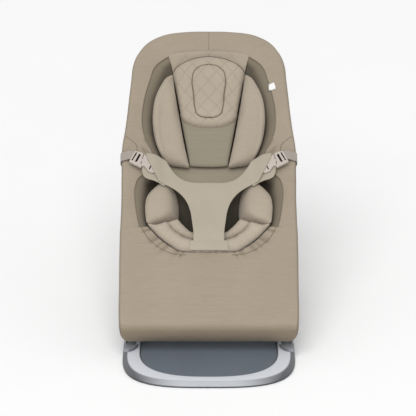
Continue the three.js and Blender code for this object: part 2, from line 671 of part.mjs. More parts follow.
function buildSideStrap() {
  const run = [
    [205.8, 12], [211, 7.5], [216, 4], [221, 2.3], [224.5, -1], [225.4, -7], [225.4, -22], [222, -30],
  ];
  return slab(1, run.length - 1, (u, v, face) => {
    const i = Math.round(v * (run.length - 1));
    const [x0, h0] = run[Math.max(0, i - 1)];
    const [x1, h1] = run[Math.min(run.length - 1, i + 1)];
    const length = Math.hypot(x1 - x0, h1 - h0);
    const t = (face ? 1.3 : 0) / length;
    return [run[i][0] - t * (h1 - h0), 456 + 25 * (1 - u), run[i][1] + t * (x1 - x0)];
  });
}

function buildTag() {
  return slab(1, 1, (u, v, face) => {
    const [x, s] = [157 + 17 * u, 672 + 24 * v + 3 * u];
    return [x, s, -3 + (face ? 0.8 : 0)];
  });
}

// ---------- assembly ----------
const model = new THREE.Group();
const part = group(model, [0, -ORIGIN_Y, 0]);
const seat = group(part, [0, SEAT_ORIGIN.y, SEAT_ORIGIN.z], [SEAT_ANGLE, 0, 0]);
const pivotFrame = group(part, [0, PIVOT.y, PIVOT.z]);

buildBase(part);
buildSpringFrame(part);
buildStrut(part);
buildSeatFrame(seat, pivotFrame);
bothSides(pivotFrame, (half, side) => {
  const leverFrame = group(half, [0, 0, 0], [SEAT_ANGLE + SLOT_OFFSET, 0, 0]);
  const hub = group(leverFrame, [0, slotReach(SEAT_ANGLE) - LEVER.hub, -1]);
  addPart(hub, `release_lever_${side}`, buildLever(), darkPlastic);
});

const cover = buildCover();
addPart(seat, "cover_front_panel", cover.front, coverFabric);
addPart(seat, "cover_head_panel", cover.head, coverFabric);
addPart(seat, "seat_sling", buildSling(SLING.low + GAP, SEAM.sling), liningFabric);
addPart(seat, "back_sling", buildSling(SEAM.sling + GAP, SLING.arc.at(-1)[1] - GAP), liningFabric);
addPart(seat, "head_support", buildHeadSupport(), insertFabric);
addPart(seat, "head_pillow", buildPillow(), insertFabric);
addPart(seat, "insert_top_flap", buildTopFlap(), insertFabric);
addPart(seat, "insert_back_panel", buildBackPanel(), backFabric);
addPart(seat, "seat_pad", buildSeatPad(), backFabric);
addPart(seat, "thigh_roll", buildThighRoll(), insertFabric);
addPart(seat, "crotch_sleeve", box(-48, 48, 199, 225.5, 0.8, 3.2), bibFabric);
addPart(seat, "harness_bib", buildBib(), bibFabric);
addPart(seat, "side_tag", buildTag(), white);
bothSides(seat, (half, side) => {
  addPart(half, `insert_wing_${side}`, buildWing(), insertFabric);
  addPart(half, `hip_bolster_${side}`, buildBolster(), insertFabric);
  addPart(half, `side_strap_${side}`, buildSideStrap(), webbing);
  const buckle = group(half, [BUCKLE.x, BUCKLE.s, BUCKLE.h], [0, 0, BUCKLE.angle]);
  addPart(buckle, `buckle_male_${side}`, buildMale(), bucklePlastic);
  addPart(buckle, `buckle_female_${side}`, buildFemale(), bucklePlastic);
  addPart(buckle, `prong_lower_${side}`, buildProng(), bucklePlastic);
  const upper = group(buckle);
  upper.scale.y = -1;
  addPart(upper, `prong_upper_${side}`, buildProng(), bucklePlastic);
});

export default model;
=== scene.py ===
"""Looks of the baby bouncer seat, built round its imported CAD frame. Lengths in the seat's own plane are
millimetres: x across, s up the seat from its lower bend, h out of the fabric face."""

import json
import math

import bpy
import numpy as np
from mathutils import Matrix, Vector, noise
from mathutils.bvhtree import BVHTree
from mathutils.geometry import delaunay_2d_cdt


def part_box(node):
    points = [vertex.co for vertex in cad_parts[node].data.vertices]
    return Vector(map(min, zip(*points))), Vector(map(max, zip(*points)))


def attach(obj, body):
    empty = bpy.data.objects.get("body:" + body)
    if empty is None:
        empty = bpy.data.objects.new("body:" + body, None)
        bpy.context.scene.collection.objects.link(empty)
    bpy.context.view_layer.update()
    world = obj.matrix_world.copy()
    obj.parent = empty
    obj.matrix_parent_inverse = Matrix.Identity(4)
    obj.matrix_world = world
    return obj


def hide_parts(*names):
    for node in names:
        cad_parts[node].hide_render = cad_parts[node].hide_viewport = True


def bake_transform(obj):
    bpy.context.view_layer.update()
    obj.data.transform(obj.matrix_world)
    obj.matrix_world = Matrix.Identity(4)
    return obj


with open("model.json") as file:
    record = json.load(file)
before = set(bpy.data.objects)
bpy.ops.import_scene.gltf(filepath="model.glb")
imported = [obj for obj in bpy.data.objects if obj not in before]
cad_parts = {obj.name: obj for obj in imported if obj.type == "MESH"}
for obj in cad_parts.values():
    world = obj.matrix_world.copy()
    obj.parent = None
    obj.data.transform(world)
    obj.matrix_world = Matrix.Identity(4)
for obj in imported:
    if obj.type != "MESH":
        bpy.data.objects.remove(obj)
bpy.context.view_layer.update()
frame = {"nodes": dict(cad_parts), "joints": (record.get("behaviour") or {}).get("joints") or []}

# ---------- driving dimensions, in millimetres ----------
MM = 0.001
PIVOT = Vector(next(j for j in frame["joints"] if j["name"] == "recline")["pos_m"])
SEAT_ANGLE = math.radians(40)
SEAT_OFFSET = Vector((0, -0.062, 0.054))  # from the recline pivot to s = 0, h = 0, in metres
SEAT = Matrix.Translation(PIVOT + SEAT_OFFSET) @ Matrix.Rotation(SEAT_ANGLE, 4, "X") @ Matrix.Scale(MM, 4)
FOOT_S, FOOT_RADIUS = 16.2, 43
EDGE_RADIUS = 11  # of the cover where it turns over the side tubes
COVER_THICKNESS, LINING_THICKNESS, SLEEVE_THICKNESS, WEBBING_THICKNESS = 1.8, 1.6, 1.2, 1.5
LINING_MARGIN = 16  # of the lining under the cover, past the opening
SEAT_MIDDLE = 330  # the place up the seat that the puckers round the thigh roll fan out from
FLOOR_REACH = 14000
SIDES = {"left": -1, "right": 1}
CENTRE_FLOOR, LOWER_FLOOR, BOLSTER_FLOOR, SEAT_FLOOR = -38, -54, -58, -96  # the lowest each pad's back goes
HEAD_QUILT = {"across": 21, "up": 25, "origin": 672}  # the diamonds' half sizes, and where one has its middle
FLAP_QUILT = {"across": 30, "up": 34, "origin": 742}
RING_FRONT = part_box("base_ring")[0].y / MM
RING = {"half_width": 213, "length": 650, "end": 181, "rail": 43, "outer_power": 3.2, "inner_power": 2.6}

OUTLINE = [
    (-82, 206), (-69, 209), (-41, 218), (16, 222), (140, 224), (309, 222), (484, 224), (538, 219),
    (610, 211), (665, 207), (720, 202), (757, 198), (794, 183), (815, 168), (832, 148), (845, 118),
    (856, 78), (862, 66),
]
OPENING = [
    (-82, 120), (180, 110), (194, 108), (207, 121), (229, 146), (266, 168), (300, 180), (344, 186),
    (402, 183), (416, 169), (477, 140), (514, 157), (551, 169), (589, 172), (657, 165), (702, 154),
    (749, 138), (774, 108), (862, 30),
]
SLING_DEPTH = [
    (-82, 0), (60, 2), (176, 4), (184, 10), (190, 40), (200, 75), (215, 95), (245, 98), (290, 98),
    (312, 84), (338, 66), (363, 63), (450, 60), (550, 52), (650, 40), (720, 28), (770, 12), (805, 0),
    (862, 0),
]
EDGE_DIP = [(-82, 0), (60, 2), (176, 4), (230, 8), (749, 8), (805, 0), (862, 0)]

# Lines across the right half of the cover: a point of its middle or of the opening's edge, and the
# matching point of its outline.
FOOT_LINES = [
    ((0, -88), (205, -88)), ((0, -82), (206, -82)), ((0, -40), (218, -41)), ((0, 16), (222, 16)),
    ((0, 110), (223, 104)), ((0, 198), (224, 182)),
]
SIDE_LINES = [
    ((0, 198), (224, 182)), ((46, 197), (224, 190)), ((60, 197.5), (224, 197)), ((76, 201), (224, 206)),
    ((97, 215), (224, 218)), ((122, 236), (224, 234)), ((144, 260), (224, 252)), ((156, 271), (223.6, 264)),
    ((163, 267.5), (223.3, 269)), ((170, 266.5), (223, 276)), ((176, 281), (222.8, 290)),
    ((180, 300), (222.5, 305)), ((186, 344), (222, 345)), ((186, 388), (222.5, 388)),
    ((180, 408), (223, 405)),
    ((164, 424), (223, 424)), ((146, 462), (224, 462)), ((144, 484), (224, 484)),
    ((157, 514), (222, 514)), ((169, 551), (217, 551)), ((172, 589), (213, 589)),
    ((165, 657), (207.5, 657)), ((154, 702), (203.5, 703)), ((138, 749), (199, 752)),
    ((112, 771), (190, 780)), ((90, 779), (165, 818)), ((62, 782), (125, 843)), ((26, 784), (50, 856)),
    ((0, 784), (0, 857)),
]


# ---------- small tools ----------
def along(table, at):
    """Straight-line interpolation in a table of (position, value) pairs."""
    positions, values = zip(*table)
    return np.interp(at, positions, values)


def softened(table, reach):
    """The table with its corners rounded off over about the given reach."""
    positions = np.arange(table[0][0], table[-1][0] + 2, 2.0)
    padded = np.pad(along(table, positions), 60, mode="edge")
    weights = np.exp(-0.5 * (np.arange(-60, 61) * 2.0 / reach) ** 2)
    values = np.convolve(padded, weights / weights.sum(), mode="same")[60:-60]
    return list(zip(positions, values))


def ease(t):
    t = np.clip(t, 0, 1)
    return t * t * (3 - 2 * t)


def crown(distance, reach):
    """A round shoulder: 0 at the edge, 1 from reach inwards."""
    t = 1 - np.clip(distance / reach, 0, 1)
    return np.sqrt(np.maximum(0, 1 - t * t))


def smooth_line(points, step, closed=False):
    """Points about step apart on a smooth curve through the given ones."""
    knots = np.asarray(points, float)
    if closed:
        knots = np.vstack([knots[-1], knots, knots[:2]])
    else:
        knots = np.vstack([2 * knots[0] - knots[1], knots, 2 * knots[-1] - knots[-2]])
    gaps = np.maximum(np.linalg.norm(np.diff(knots, axis=0), axis=1), 1e-6)
    slopes = np.diff(knots, axis=0) / gaps[:, None]
    before, after = gaps[:-1, None], gaps[1:, None]
    tangents = (slopes[:-1] * after + slopes[1:] * before) / (before + after)
    fine = []
    for i in range(1, len(knots) - 2):
        a, b, gap = knots[i], knots[i + 1], gaps[i]
        for t in np.linspace(0, 1, 16, endpoint=False):
            fine.append(
                a * (1 + 2 * t) * (1 - t) ** 2
                + b * t * t * (3 - 2 * t)
                + tangents[i - 1] * gap * t * (1 - t) ** 2
                - tangents[i] * gap * t * t * (1 - t)
            )
    fine = np.array(fine + [knots[-2]])
    length = np.r_[0, np.cumsum(np.linalg.norm(np.diff(fine, axis=0), axis=1))]
    count = max(2, round(length[-1] / step))
    stops = np.linspace(0, length[-1], count + 1)
    line = np.column_stack([np.interp(stops, length, fine[:, k]) for k in range(fine.shape[1])])
    return line[:-1] if closed else line


def in_world(points, matrix=SEAT):
    """Points in millimetres of the seat's plane as metres of the frame."""
    points = np.asarray(points, float)
    turn = np.array(matrix.to_3x3())
    return points @ turn.T + np.array(matrix.translation)


def in_seat(points):
    return in_world(points, SEAT.inverted())


def add_mesh(name, points, faces, material, matrix=SEAT):
    mesh = bpy.data.meshes.new(name)
    mesh.from_pydata([tuple(p) for p in in_world(points, matrix)], [], faces)
    mesh.validate()
    mesh.polygons.foreach_set("use_smooth", [True] * len(mesh.polygons))
    mesh.materials.append(material)
    made = bpy.data.objects.new(name, mesh)
    bpy.context.scene.collection.objects.link(made)
    return made


def apply_modifiers(piece):
    """Turns the piece's modifiers into its mesh."""
    graph = bpy.context.evaluated_depsgraph_get()
    done = bpy.data.meshes.new_from_object(piece.evaluated_get(graph), depsgraph=graph)
    piece.modifiers.clear()
    piece.data = done


def coordinates(piece):
    found = np.zeros(len(piece.data.vertices) * 3)
    piece.data.vertices.foreach_get("co", found)
    return found.reshape(-1, 3)


def reshape(piece, points):
    piece.data.vertices.foreach_set("co", np.asarray(points, float).ravel())
    piece.data.update()


def thicken(piece, thickness, offset=-1.0):
    solid = piece.modifiers.new("thickness", "SOLIDIFY")
    solid.thickness = thickness * MM
    solid.offset = offset
    return solid


def store(piece, name, values):
    """Keeps a value for each point on the mesh, for the materials."""
    piece.data.attributes.new(name, "FLOAT", "POINT").data.foreach_set("value", values.astype(np.float32))


def refine(piece):
    subdivision = piece.modifiers.new("refine", "SUBSURF")
    subdivision.levels = subdivision.render_levels = 1
    apply_modifiers(piece)


def grid_faces(rows, cols, closed_rows=False, closed_cols=False):
    faces = []
    for j in range(rows if closed_rows else rows - 1):
        for i in range(cols if closed_cols else cols - 1):
            j1, i1 = (j + 1) % rows, (i + 1) % cols
            faces.append((j * cols + i, j * cols + i1, j1 * cols + i1, j1 * cols + i))
    return faces


def tube(name, path, radius, material, flat=1.0, sides=8):
    """A closed round bar along a path of 3-D points; flat squeezes it towards the seat's plane."""
    heading = np.gradient(path, axis=0)
    heading /= np.linalg.norm(heading, axis=1)[:, None]
    side = np.cross(heading, (0.0, 0.0, 1.0))
    side /= np.linalg.norm(side, axis=1)[:, None]
    top = np.cross(side, heading)
    angles = np.linspace(0, 2 * math.pi, sides, endpoint=False)
    points = []
    for p, a, b in zip(path, side, top):
        points += [p + radius * (math.cos(t) * a + flat * math.sin(t) * b) for t in angles]
    rows = len(path)
    faces = [f[::-1] for f in grid_faces(rows, sides, closed_cols=True)]
    points += [path[0], path[-1]]
    for i in range(sides):
        j = (i + 1) % sides
        last = (rows - 1) * sides
        faces.append((rows * sides, j, i)[::-1])
        faces.append((rows * sides + 1, last + i, last + j)[::-1])
    return add_mesh(name, points, faces, material)


def inside_distance(points, outline):
    """How far points of a plane lie inside a closed outline; negative outside."""
    a, b = outline, np.roll(outline, -1, axis=0)
    ab = b - a
    away = points[:, None, :] - a[None]
    t = np.clip((away * ab).sum(-1) / (ab * ab).sum(-1), 0, 1)
    distance = np.linalg.norm(away - t[..., None] * ab, axis=-1).min(1)
    y = points[:, 1][:, None]
    crosses = (a[:, 1] > y) != (b[:, 1] > y)
    rise = np.where(np.abs(ab[:, 1]) < 1e-9, 1e-9, ab[:, 1])
    cut = a[:, 0] + (y - a[:, 1]) * ab[:, 0] / rise
    inside = (crosses & (points[:, 0][:, None] < cut)).sum(1) % 2 == 1
    return np.where(inside, distance, -distance)


def outline_body(name, outline, spacing, top, bottom, material, rings=(0.2, 0.6), matrix=SEAT):
    """A closed body over an outline: top(x, s, d) and bottom(x, s, d) give its heights, where d is the
    distance in from the edge, and they meet at the edge."""
    outline = np.asarray(outline, float)
    low, high = outline.min(0), outline.max(0)
    grid = []
    for row, s in enumerate(np.arange(low[1], high[1], spacing * 0.866)):
        for x in np.arange(low[0] + (row % 2) * spacing / 2, high[0], spacing):
            grid.append((x, s))
    grid = np.array(grid)
    points = [outline, grid[inside_distance(grid, outline) > spacing * (rings[-1] + 0.55)]]
    heading = np.roll(outline, -1, axis=0) - np.roll(outline, 1, axis=0)
    normal = np.column_stack([-heading[:, 1], heading[:, 0]])
    normal /= np.maximum(np.linalg.norm(normal, axis=1), 1e-9)[:, None]
    if inside_distance(outline + 0.5 * normal, outline).mean() < 0:
        normal = -normal
    for ring in rings:
        moved = outline + normal * ring * spacing
        points.append(moved[inside_distance(moved, outline) > ring * spacing * 0.9])
    flat = [Vector(p) for p in np.vstack(points)]
    verts, _, faces, *_ = delaunay_2d_cdt(flat, [], [list(range(len(outline)))], 1, 1e-4)
    plan = np.array([tuple(v) for v in verts])
    d = np.maximum(inside_distance(plan, outline), 0)
    rim = d < 1e-3
    upper = np.column_stack([plan, top(plan[:, 0], plan[:, 1], d)])
    lower = np.column_stack([plan, bottom(plan[:, 0], plan[:, 1], d)])
    index = np.where(rim, np.arange(len(plan)), len(plan) + np.cumsum(~rim) - 1)
    both = [tuple(f) for f in faces] + [tuple(index[list(f)][::-1]) for f in faces]
    return add_mesh(name, np.vstack([upper, lower[~rim]]), both, material, matrix)


def both_halves(right):
    """A closed outline from its right half, which starts and ends on the middle line."""
    return list(right) + [(-x, s) for x, s in right[-2:0:-1]]


def cornered(*runs, step=4.5):
    """A closed outline of smooth runs that meet in corners; each run ends where the next one starts."""
    return np.vstack([smooth_line(run, step)[:-1] for run in runs])


def whole(*runs, step):
    """A closed outline from the smooth runs of its right half, the last of which ends on the middle line."""
    right = cornered(*runs, step=step)
    return np.vstack([right, [runs[-1][-1]], on_side(right[1:], -1)])


def on_side(outline, side):
    """An outline of the right side, or its mirror image for side -1."""
    return outline if side > 0 else (outline * [-1, 1])[::-1]


def pad(name, outline, spacing, base, lift, face, back, material):
    """A crowned pad whose rim lies lift over base(x, s); face and back are (height, reach) of its crowns."""
    return outline_body(
        name, outline, spacing, lambda x, s, d: base(x, s) + lift + face[0] * crown(d, face[1]),
        lambda x, s, d: base(x, s) + lift - back[0] * crown(d, back[1]), material,
    )


# ---------- the sling's own surface ----------
def skin(x, q, h):
    """The point at height h over the cover's face at distance q up the seat: it rolls round the foot."""
    a = np.minimum(0, (q - FOOT_S) / FOOT_RADIUS)
    ns, nh = np.sin(a), np.cos(a)
    s = np.where(q < FOOT_S, FOOT_S + FOOT_RADIUS * ns, q)
    base = np.where(q < FOOT_S, FOOT_RADIUS * (nh - 1), 0)
    return np.stack([x, s + ns * h, base + nh * h], axis=-1)


SOFT_DEPTH = softened(SLING_DEPTH, 9)
SOFT_OPENING = softened(OPENING, 10)


def sling_height(x, s):
    """Height of the sling's face, which dips inside the cover's opening."""
    opening, edge = along(SOFT_OPENING, s), along(EDGE_DIP, s)
    width = along(OUTLINE, s)
    across = np.abs(x)
    bowl = np.maximum(0, along(SOFT_DEPTH, s) - edge)
    band = -edge * np.maximum(0, width - across) / (width - opening)
    return np.where(across >= opening, band, -edge - bowl * ease((opening - across) / (0.4 * opening)))


def wander(points, size, seed):
    """Smooth noise of about -1 to 1 at each point, with bumps of about the given size."""
    return np.array([noise.noise(Vector(tuple(p)) / size + Vector((seed, 0, 0))) for p in points])


# ---------- materials ----------
def tone(red, green, blue):
    """A screen colour from 0 to 255 as a linear colour."""
    parts = [c / 255 for c in (red, green, blue)]
    return tuple(c / 12.92 if c <= 0.04045 else ((c + 0.055) / 1.055) ** 2.4 for c in parts) + (1.0,)


def grey(level):
    return (level, level, level, 1)


def shade(colour, by):
    return tuple(c * by for c in colour[:3]) + (1.0,)


class Finish:
    """A material and short ways to add nodes to it."""

    def __init__(self, name, **constants):
        self.material = bpy.data.materials.new(name)
        self.material.use_nodes = True
        self.tree = self.material.node_tree
        self.shader = self.tree.nodes["Principled BSDF"]
        for socket, value in constants.items():
            self.shader.inputs[socket.replace("_", " ")].default_value = value

    def node(self, kind, inputs=(), **settings):
        made = self.tree.nodes.new(kind)
        for key, value in settings.items():
            setattr(made, key, value)
        for socket, value in dict(inputs).items():
            if isinstance(value, bpy.types.NodeSocket):
                self.tree.links.new(value, made.inputs[socket])
            else:
                made.inputs[socket].default_value = value
        return made

    def place(self, scale, turned=True):
        """Coordinates in metres, in the seat's plane if turned, stretched by scale."""
        where = self.node("ShaderNodeTexCoord").outputs["Object"]
        if turned:
            angles = {"Vector": where, "Rotation": (-SEAT_ANGLE, 0, 0)}
            where = self.node("ShaderNodeMapping", angles).outputs[0]
        return self.node("ShaderNodeMapping", {"Vector": where, "Scale": scale}).outputs[0]

    def noise(self, scale, detail=2.0, stretch=(1, 1, 1)):
        inputs = {"Vector": self.place(stretch), "Scale": scale, "Detail": detail}
        return self.node("ShaderNodeTexNoise", inputs).outputs[0]

    def wave(self, pitch, axis, distortion=0.0, turned=True):
        """Bands one pitch (in millimetres) apart across an axis."""
        inputs = {
            "Vector": self.place((1, 1, 1), turned), "Scale": math.tau / 20 / (pitch * MM),
            "Distortion": distortion, "Detail": 1.0,
        }
        return self.node("ShaderNodeTexWave", inputs, bands_direction=axis).outputs[1]

    def weave(self, pitch, turned=True):
        """The height of two crossing sets of threads."""
        warp, weft = self.wave(pitch, "X", turned=turned), self.wave(pitch, "Y", turned=turned)
        return self.math("MULTIPLY", self.math("ADD", warp, weft), 0.5)

    def math(self, operation, a, b):
        return self.node("ShaderNodeMath", {0: a, 1: b}, operation=operation).outputs[0]

    def ramp(self, factor, *stops):
        """A colour ramp through (position, colour) stops."""
        made = self.node("ShaderNodeValToRGB", {0: factor})
        elements = made.color_ramp.elements
        while len(elements) < len(stops):
            elements.new(0.5)
        for element, (position, colour) in zip(elements, stops):
            element.position, element.color = position, colour
        return made.outputs[0]

    def patches(self, scale, low, high, detail=3.0):
        """Slow changes between two levels of grey."""
        return self.ramp(self.noise(scale, detail), (0.3, grey(low)), (0.7, grey(high)))

    def times(self, cloth, *factors):
        """A colour multiplied by others."""
        for factor in factors:
            inputs = {0: 1.0, 6: cloth, 7: factor}
            cloth = self.node("ShaderNodeMix", inputs, data_type="RGBA", blend_type="MULTIPLY").outputs[2]
        return cloth

    def facing(self):
        """The x, y and z of the way a face looks."""
        normal = self.node("ShaderNodeNewGeometry").outputs["Normal"]
        return self.node("ShaderNodeSeparateXYZ", {0: normal}).outputs

    def stored(self, name):
        """A value stored on the mesh."""
        return self.node("ShaderNodeAttribute", attribute_name=name).outputs["Fac"]

    def colour(self, socket):
        self.tree.links.new(socket, self.shader.inputs["Base Color"])

    def rough(self, factor, low, high):
        inputs = {0: factor, 3: low, 4: high}
        made = self.node("ShaderNodeMapRange", inputs)
        self.tree.links.new(made.outputs[0], self.shader.inputs["Roughness"])

    def bump(self, height, distance, strength=1.0):
        """distance is in millimetres."""
        inputs = {"Height": height, "Distance": distance * MM, "Strength": strength}
        made = self.node("ShaderNodeBump", inputs)
        self.tree.links.new(made.outputs[0], self.shader.inputs["Normal"])


def knitted(name, colour, streak, knit):
    """A fine knitted cloth: slow changes of tone, thin slubs across, and knitted ribs. Gives its Finish and
    the colour that is still to be linked."""
    made = Finish(name, Roughness=0.88, Sheen_Weight=0.12, Sheen_Roughness=0.55, Specular_IOR_Level=0.25)
    slubs = made.noise(1.0, 3.0, (26, 620, 260))
    base = made.ramp(made.noise(7.0, 3.0), (0.3, shade(colour, 0.955)), (0.7, shade(colour, 1.03)))
    streaks = made.ramp(slubs, (0.36, (1 - streak, 1 - streak, 1 - streak * 1.1, 1)), (0.62, grey(1.02)))
    ribs = made.math("MULTIPLY", made.wave(knit, "X"), 0.5)
    rows = made.math("MULTIPLY", made.wave(knit * 0.8, "Y", distortion=0.6), 0.5)
    made.bump(made.math("ADD", made.math("ADD", ribs, rows), slubs), 0.22, 0.55)
    return made, made.times(base, streaks, made.patches(900.0, 0.965, 1.02, 2.0))


def jersey(name, colour, streak=0.04, knit=1.0):
    made, cloth = knitted(name, colour, streak, knit)
    made.colour(cloth)
    return made.material


def stretched_jersey(name, colour, turned):
    """Jersey with painted shade: browner and darker, down to turned, where it faces to the side or down, and
    painted shadow in its puckers.
    """
    made, cloth = knitted(name, colour, 0.06, 1.3)
    across, _, upward = made.facing()
    shade_tint = (turned, turned * 0.97, turned * 0.9, 1)
    sideways_shade = made.ramp(made.math("ABSOLUTE", across, 0), (0.5, grey(1)), (1.0, shade_tint))
    underside_shade = made.ramp(upward, (0.0, shade_tint), (0.45, grey(1)))
    # painted shadow in the puckers, from the "fold" values stored on the cover
    folds = made.ramp(made.stored("fold"), (0.0, grey(1)), (1.0, (0.62, 0.61, 0.58, 1)))
    made.colour(made.times(cloth, sideways_shade, underside_shade, folds))
    return made.material


def quilted(name, colour, across, up, origin):
    """Jersey with the stitch lines of a diamond pattern, of the given half sizes in millimetres; the lines
    are darkened, partly for their stitching and partly as painted shade of the quilted grooves.
    """
    made, base = knitted(name, colour, 0.03, 1.0)
    where = made.node("ShaderNodeSeparateXYZ", {0: made.place((1 / MM,) * 3)}).outputs
    zero = (SEAT.inverted() @ Vector((0, 0, 0))).y
    run = made.math("DIVIDE", made.math("ADD", where[1], zero - origin), up)
    side = made.math("DIVIDE", where[0], across)
    width = 1.5 * math.hypot(across, up) / (2 * across * up)
    lines = []
    for operation in ("ADD", "SUBTRACT"):
        phase = made.math("MULTIPLY", made.math("SUBTRACT", made.math(operation, side, run), 1.0), 0.5)
        near = made.math("PINGPONG", phase, 0.5)
        lines.append(made.node("ShaderNodeMapRange", {0: near, 1: 0.0, 2: width, 3: 0.86, 4: 1.0}).outputs[0])
    darkest = made.math("MINIMUM", *lines)
    shadow = made.node("ShaderNodeCombineColor", {0: darkest, 1: darkest, 2: darkest}).outputs[0]
    made.colour(made.times(base, shadow))
    return made.material


def mesh_lining(name, colour):
    """An airy spacer mesh: rows of small round holes, with painted shade that darkens it towards the depth of
    the sling.
    """
    made = Finish(name, Roughness=0.93, Sheen_Weight=0.08, Specular_IOR_Level=0.2)
    inputs = {"Vector": made.place((1, 1, 0.5)), "Scale": 420.0, "Randomness": 0.25}
    cells = made.node("ShaderNodeTexVoronoi", inputs).outputs[0]
    holes = made.ramp(cells, (0.12, shade(colour, 0.80)), (0.34, colour))
    # painted shade, from the "depth" values that make_lining stores
    depth_shade = made.ramp(made.stored("depth"), (0.0, grey(1)), (1.0, (0.22, 0.215, 0.2, 1)))
    made.colour(made.times(holes, made.patches(9.0, 0.94, 1.04), depth_shade))
    made.bump(cells, 0.35, 0.7)
    return made.material


def woven(name, colour, pitch, contrast=0.9, roughness=0.85):
    """Plain weave: two crossing sets of threads."""
    made = Finish(name, Roughness=roughness, Sheen_Weight=0.1, Specular_IOR_Level=0.3)
    threads = made.weave(pitch)
    base = made.ramp(threads, (0.1, shade(colour, contrast)), (0.7, shade(colour, 1.02)))
    made.colour(made.times(base, made.patches(14.0, 0.96, 1.03)))
    made.bump(threads, 0.25, 0.6)
    return made.material


def metal(name, colour, roughness, metallic=1.0, streak=0.08, sides=1.0, front=1.0):
    """Brushed or satin metal with long fine streaks; sides and front are painted shade, darkening the faces
    that look to the side and to the front.
    """
    made = Finish(name, Metallic=metallic)
    streaks = made.noise(12.0, 4.0, (1, 60, 60))
    base = made.ramp(streaks, (0.3, shade(colour, 1 - streak)), (0.7, shade(colour, 1 + streak / 2)))
    if sides < 1:
        # painted shade on faces that look to the side and to the front
        across, along_y, _ = made.facing()
        sideways_shade = made.ramp(made.math("ABSOLUTE", across, 0), (0.08, grey(1)), (0.5, grey(sides)))
        forward_shade = made.ramp(made.math("MULTIPLY", along_y, -1.0), (0.1, grey(1)), (0.55, grey(front)))
        base = made.times(base, sideways_shade, forward_shade)
    made.colour(base)
    made.rough(made.noise(30.0, 3.0), roughness - 0.06, roughness + 0.08)
    made.bump(made.noise(500.0, 2.0), 0.05, 0.4)
    return made.material


def moulded(name, colour, roughness, grain=0.05, scale=700.0):
    """Moulded plastic or rubber with a fine spark-eroded grain."""
    made = Finish(name, Specular_IOR_Level=0.45)
    made.colour(made.ramp(made.noise(22.0, 3.0), (0.3, shade(colour, 0.94)), (0.7, shade(colour, 1.04))))
    made.rough(made.noise(60.0, 3.0), roughness - 0.05, roughness + 0.07)
    made.bump(made.noise(scale, 3.0), grain, 0.6)
    return made.material


def panel_weave(name, colour, pitch):
    """The coarse, hard-wearing weave of the base panel, which lies level."""
    made = Finish(name, Specular_IOR_Level=0.35)
    threads = made.weave(pitch, turned=False)
    base = made.ramp(threads, (0.1, shade(colour, 0.90)), (0.8, shade(colour, 1.05)))
    made.colour(made.times(base, made.patches(6.0, 0.95, 1.05, 4.0)))
    made.rough(made.noise(40.0, 3.0), 0.62, 0.78)
    made.bump(threads, 0.2, 0.5)
    return made.material


# COVER has painted shade where it faces to the side or down, and painted shadow in its puckers
COVER = stretched_jersey("cover_jersey", tone(160, 147, 130), 0.68)
INSERT = jersey("insert_jersey", tone(168, 156, 140), knit=1.1)
QUILTED = quilted("quilted_jersey", tone(170, 158, 142), **HEAD_QUILT)
# LIT_ROLL is a lighter copy of the insert jersey: painted light on the rolls.
LIT_ROLL = jersey("roll_lit_jersey", tone(176, 164, 148), knit=1.1)
FLAP_CLOTH = quilted("flap_jersey", tone(165, 153, 137), **FLAP_QUILT)
BACK = jersey("back_jersey", tone(143, 135, 118), streak=0.05)
LOWER = jersey("lower_back_jersey", tone(150, 140, 123))
# The seat pad's near-black tone is painted shade for the hollow of the seat under the bib.
SEAT_PAD_SHADE = jersey("seat_pad_shade_jersey", tone(70, 65, 55))
# LINING carries painted shade towards the depth of the sling
LINING = mesh_lining("lining_mesh", tone(131, 121, 105))
BIB = woven("bib_cloth", tone(171, 162, 146), 0.9, 0.95)
SEAM = woven("seam_thread", tone(128, 117, 100), 0.5)
PIPING = jersey("piping_jersey", tone(118, 107, 90), 0.06, 0.8)
# CREASE_SHADOW is a near-black tone for painted shadow in the crease round the head support's top.
CREASE_SHADOW = jersey("crease_shadow_jersey", tone(84, 74, 60), 0.06, 0.8)
WEBBING = woven("webbing_weave", tone(166, 157, 148), 1.6, 0.82)
TAG = woven("tag_cloth", tone(240, 240, 238), 0.5, 0.93)
# ALUMINIUM has painted shade on its side and front faces, SILVER on its side faces.
ALUMINIUM = metal("satin_aluminium", tone(220, 223, 229), 0.55, 0.12, 0.05, sides=0.22, front=0.57)
SILVER = metal("silver_plastic", tone(160, 163, 169), 0.45, 0.25, 0.04, sides=0.5)
SLATE = panel_weave("slate_weave", tone(100, 108, 117), 1.6)
RUBBER = moulded("grip_rubber", tone(84, 88, 92), 0.8, 0.12, 450.0)
STEEL = metal("zinc_steel", tone(176, 178, 182), 0.36)
BLACK_TUBE = metal("black_tube", tone(44, 45, 48), 0.42, 0.3)
DARK_PLASTIC = moulded("dark_plastic", tone(62, 64, 69), 0.55, 0.06)
BUCKLE = moulded("buckle_plastic", tone(182, 171, 162), 0.5)
# SLOT_SHADOW is near black as painted shadow in the buckles' slots.
SLOT_SHADOW = moulded("buckle_slot_shadow", tone(26, 23, 20), 0.7)


# ---------- camera, light and floor ----------
def add_camera():
    data = bpy.data.cameras.new("camera")
    data.lens, data.sensor_width, data.shift_x = 179.6, 36, -0.002
    camera = bpy.data.objects.new("camera", data)
    camera.location = (0, -4.887, 2.231)
    camera.rotation_euler = (math.radians(68.47), 0, 0)
    bpy.context.scene.collection.objects.link(camera)
    bpy.context.scene.camera = camera


def add_lamp(name, kind, heading, location=(0, 0, 0), **settings):
    data = bpy.data.lights.new(name, kind)
    for key, value in settings.items():
        setattr(data, key, value)
    lamp = bpy.data.objects.new(name, data)
    lamp.location = location
    lamp.rotation_euler = Vector(heading).to_track_quat("-Z", "Y").to_euler()
    bpy.context.scene.collection.objects.link(lamp)


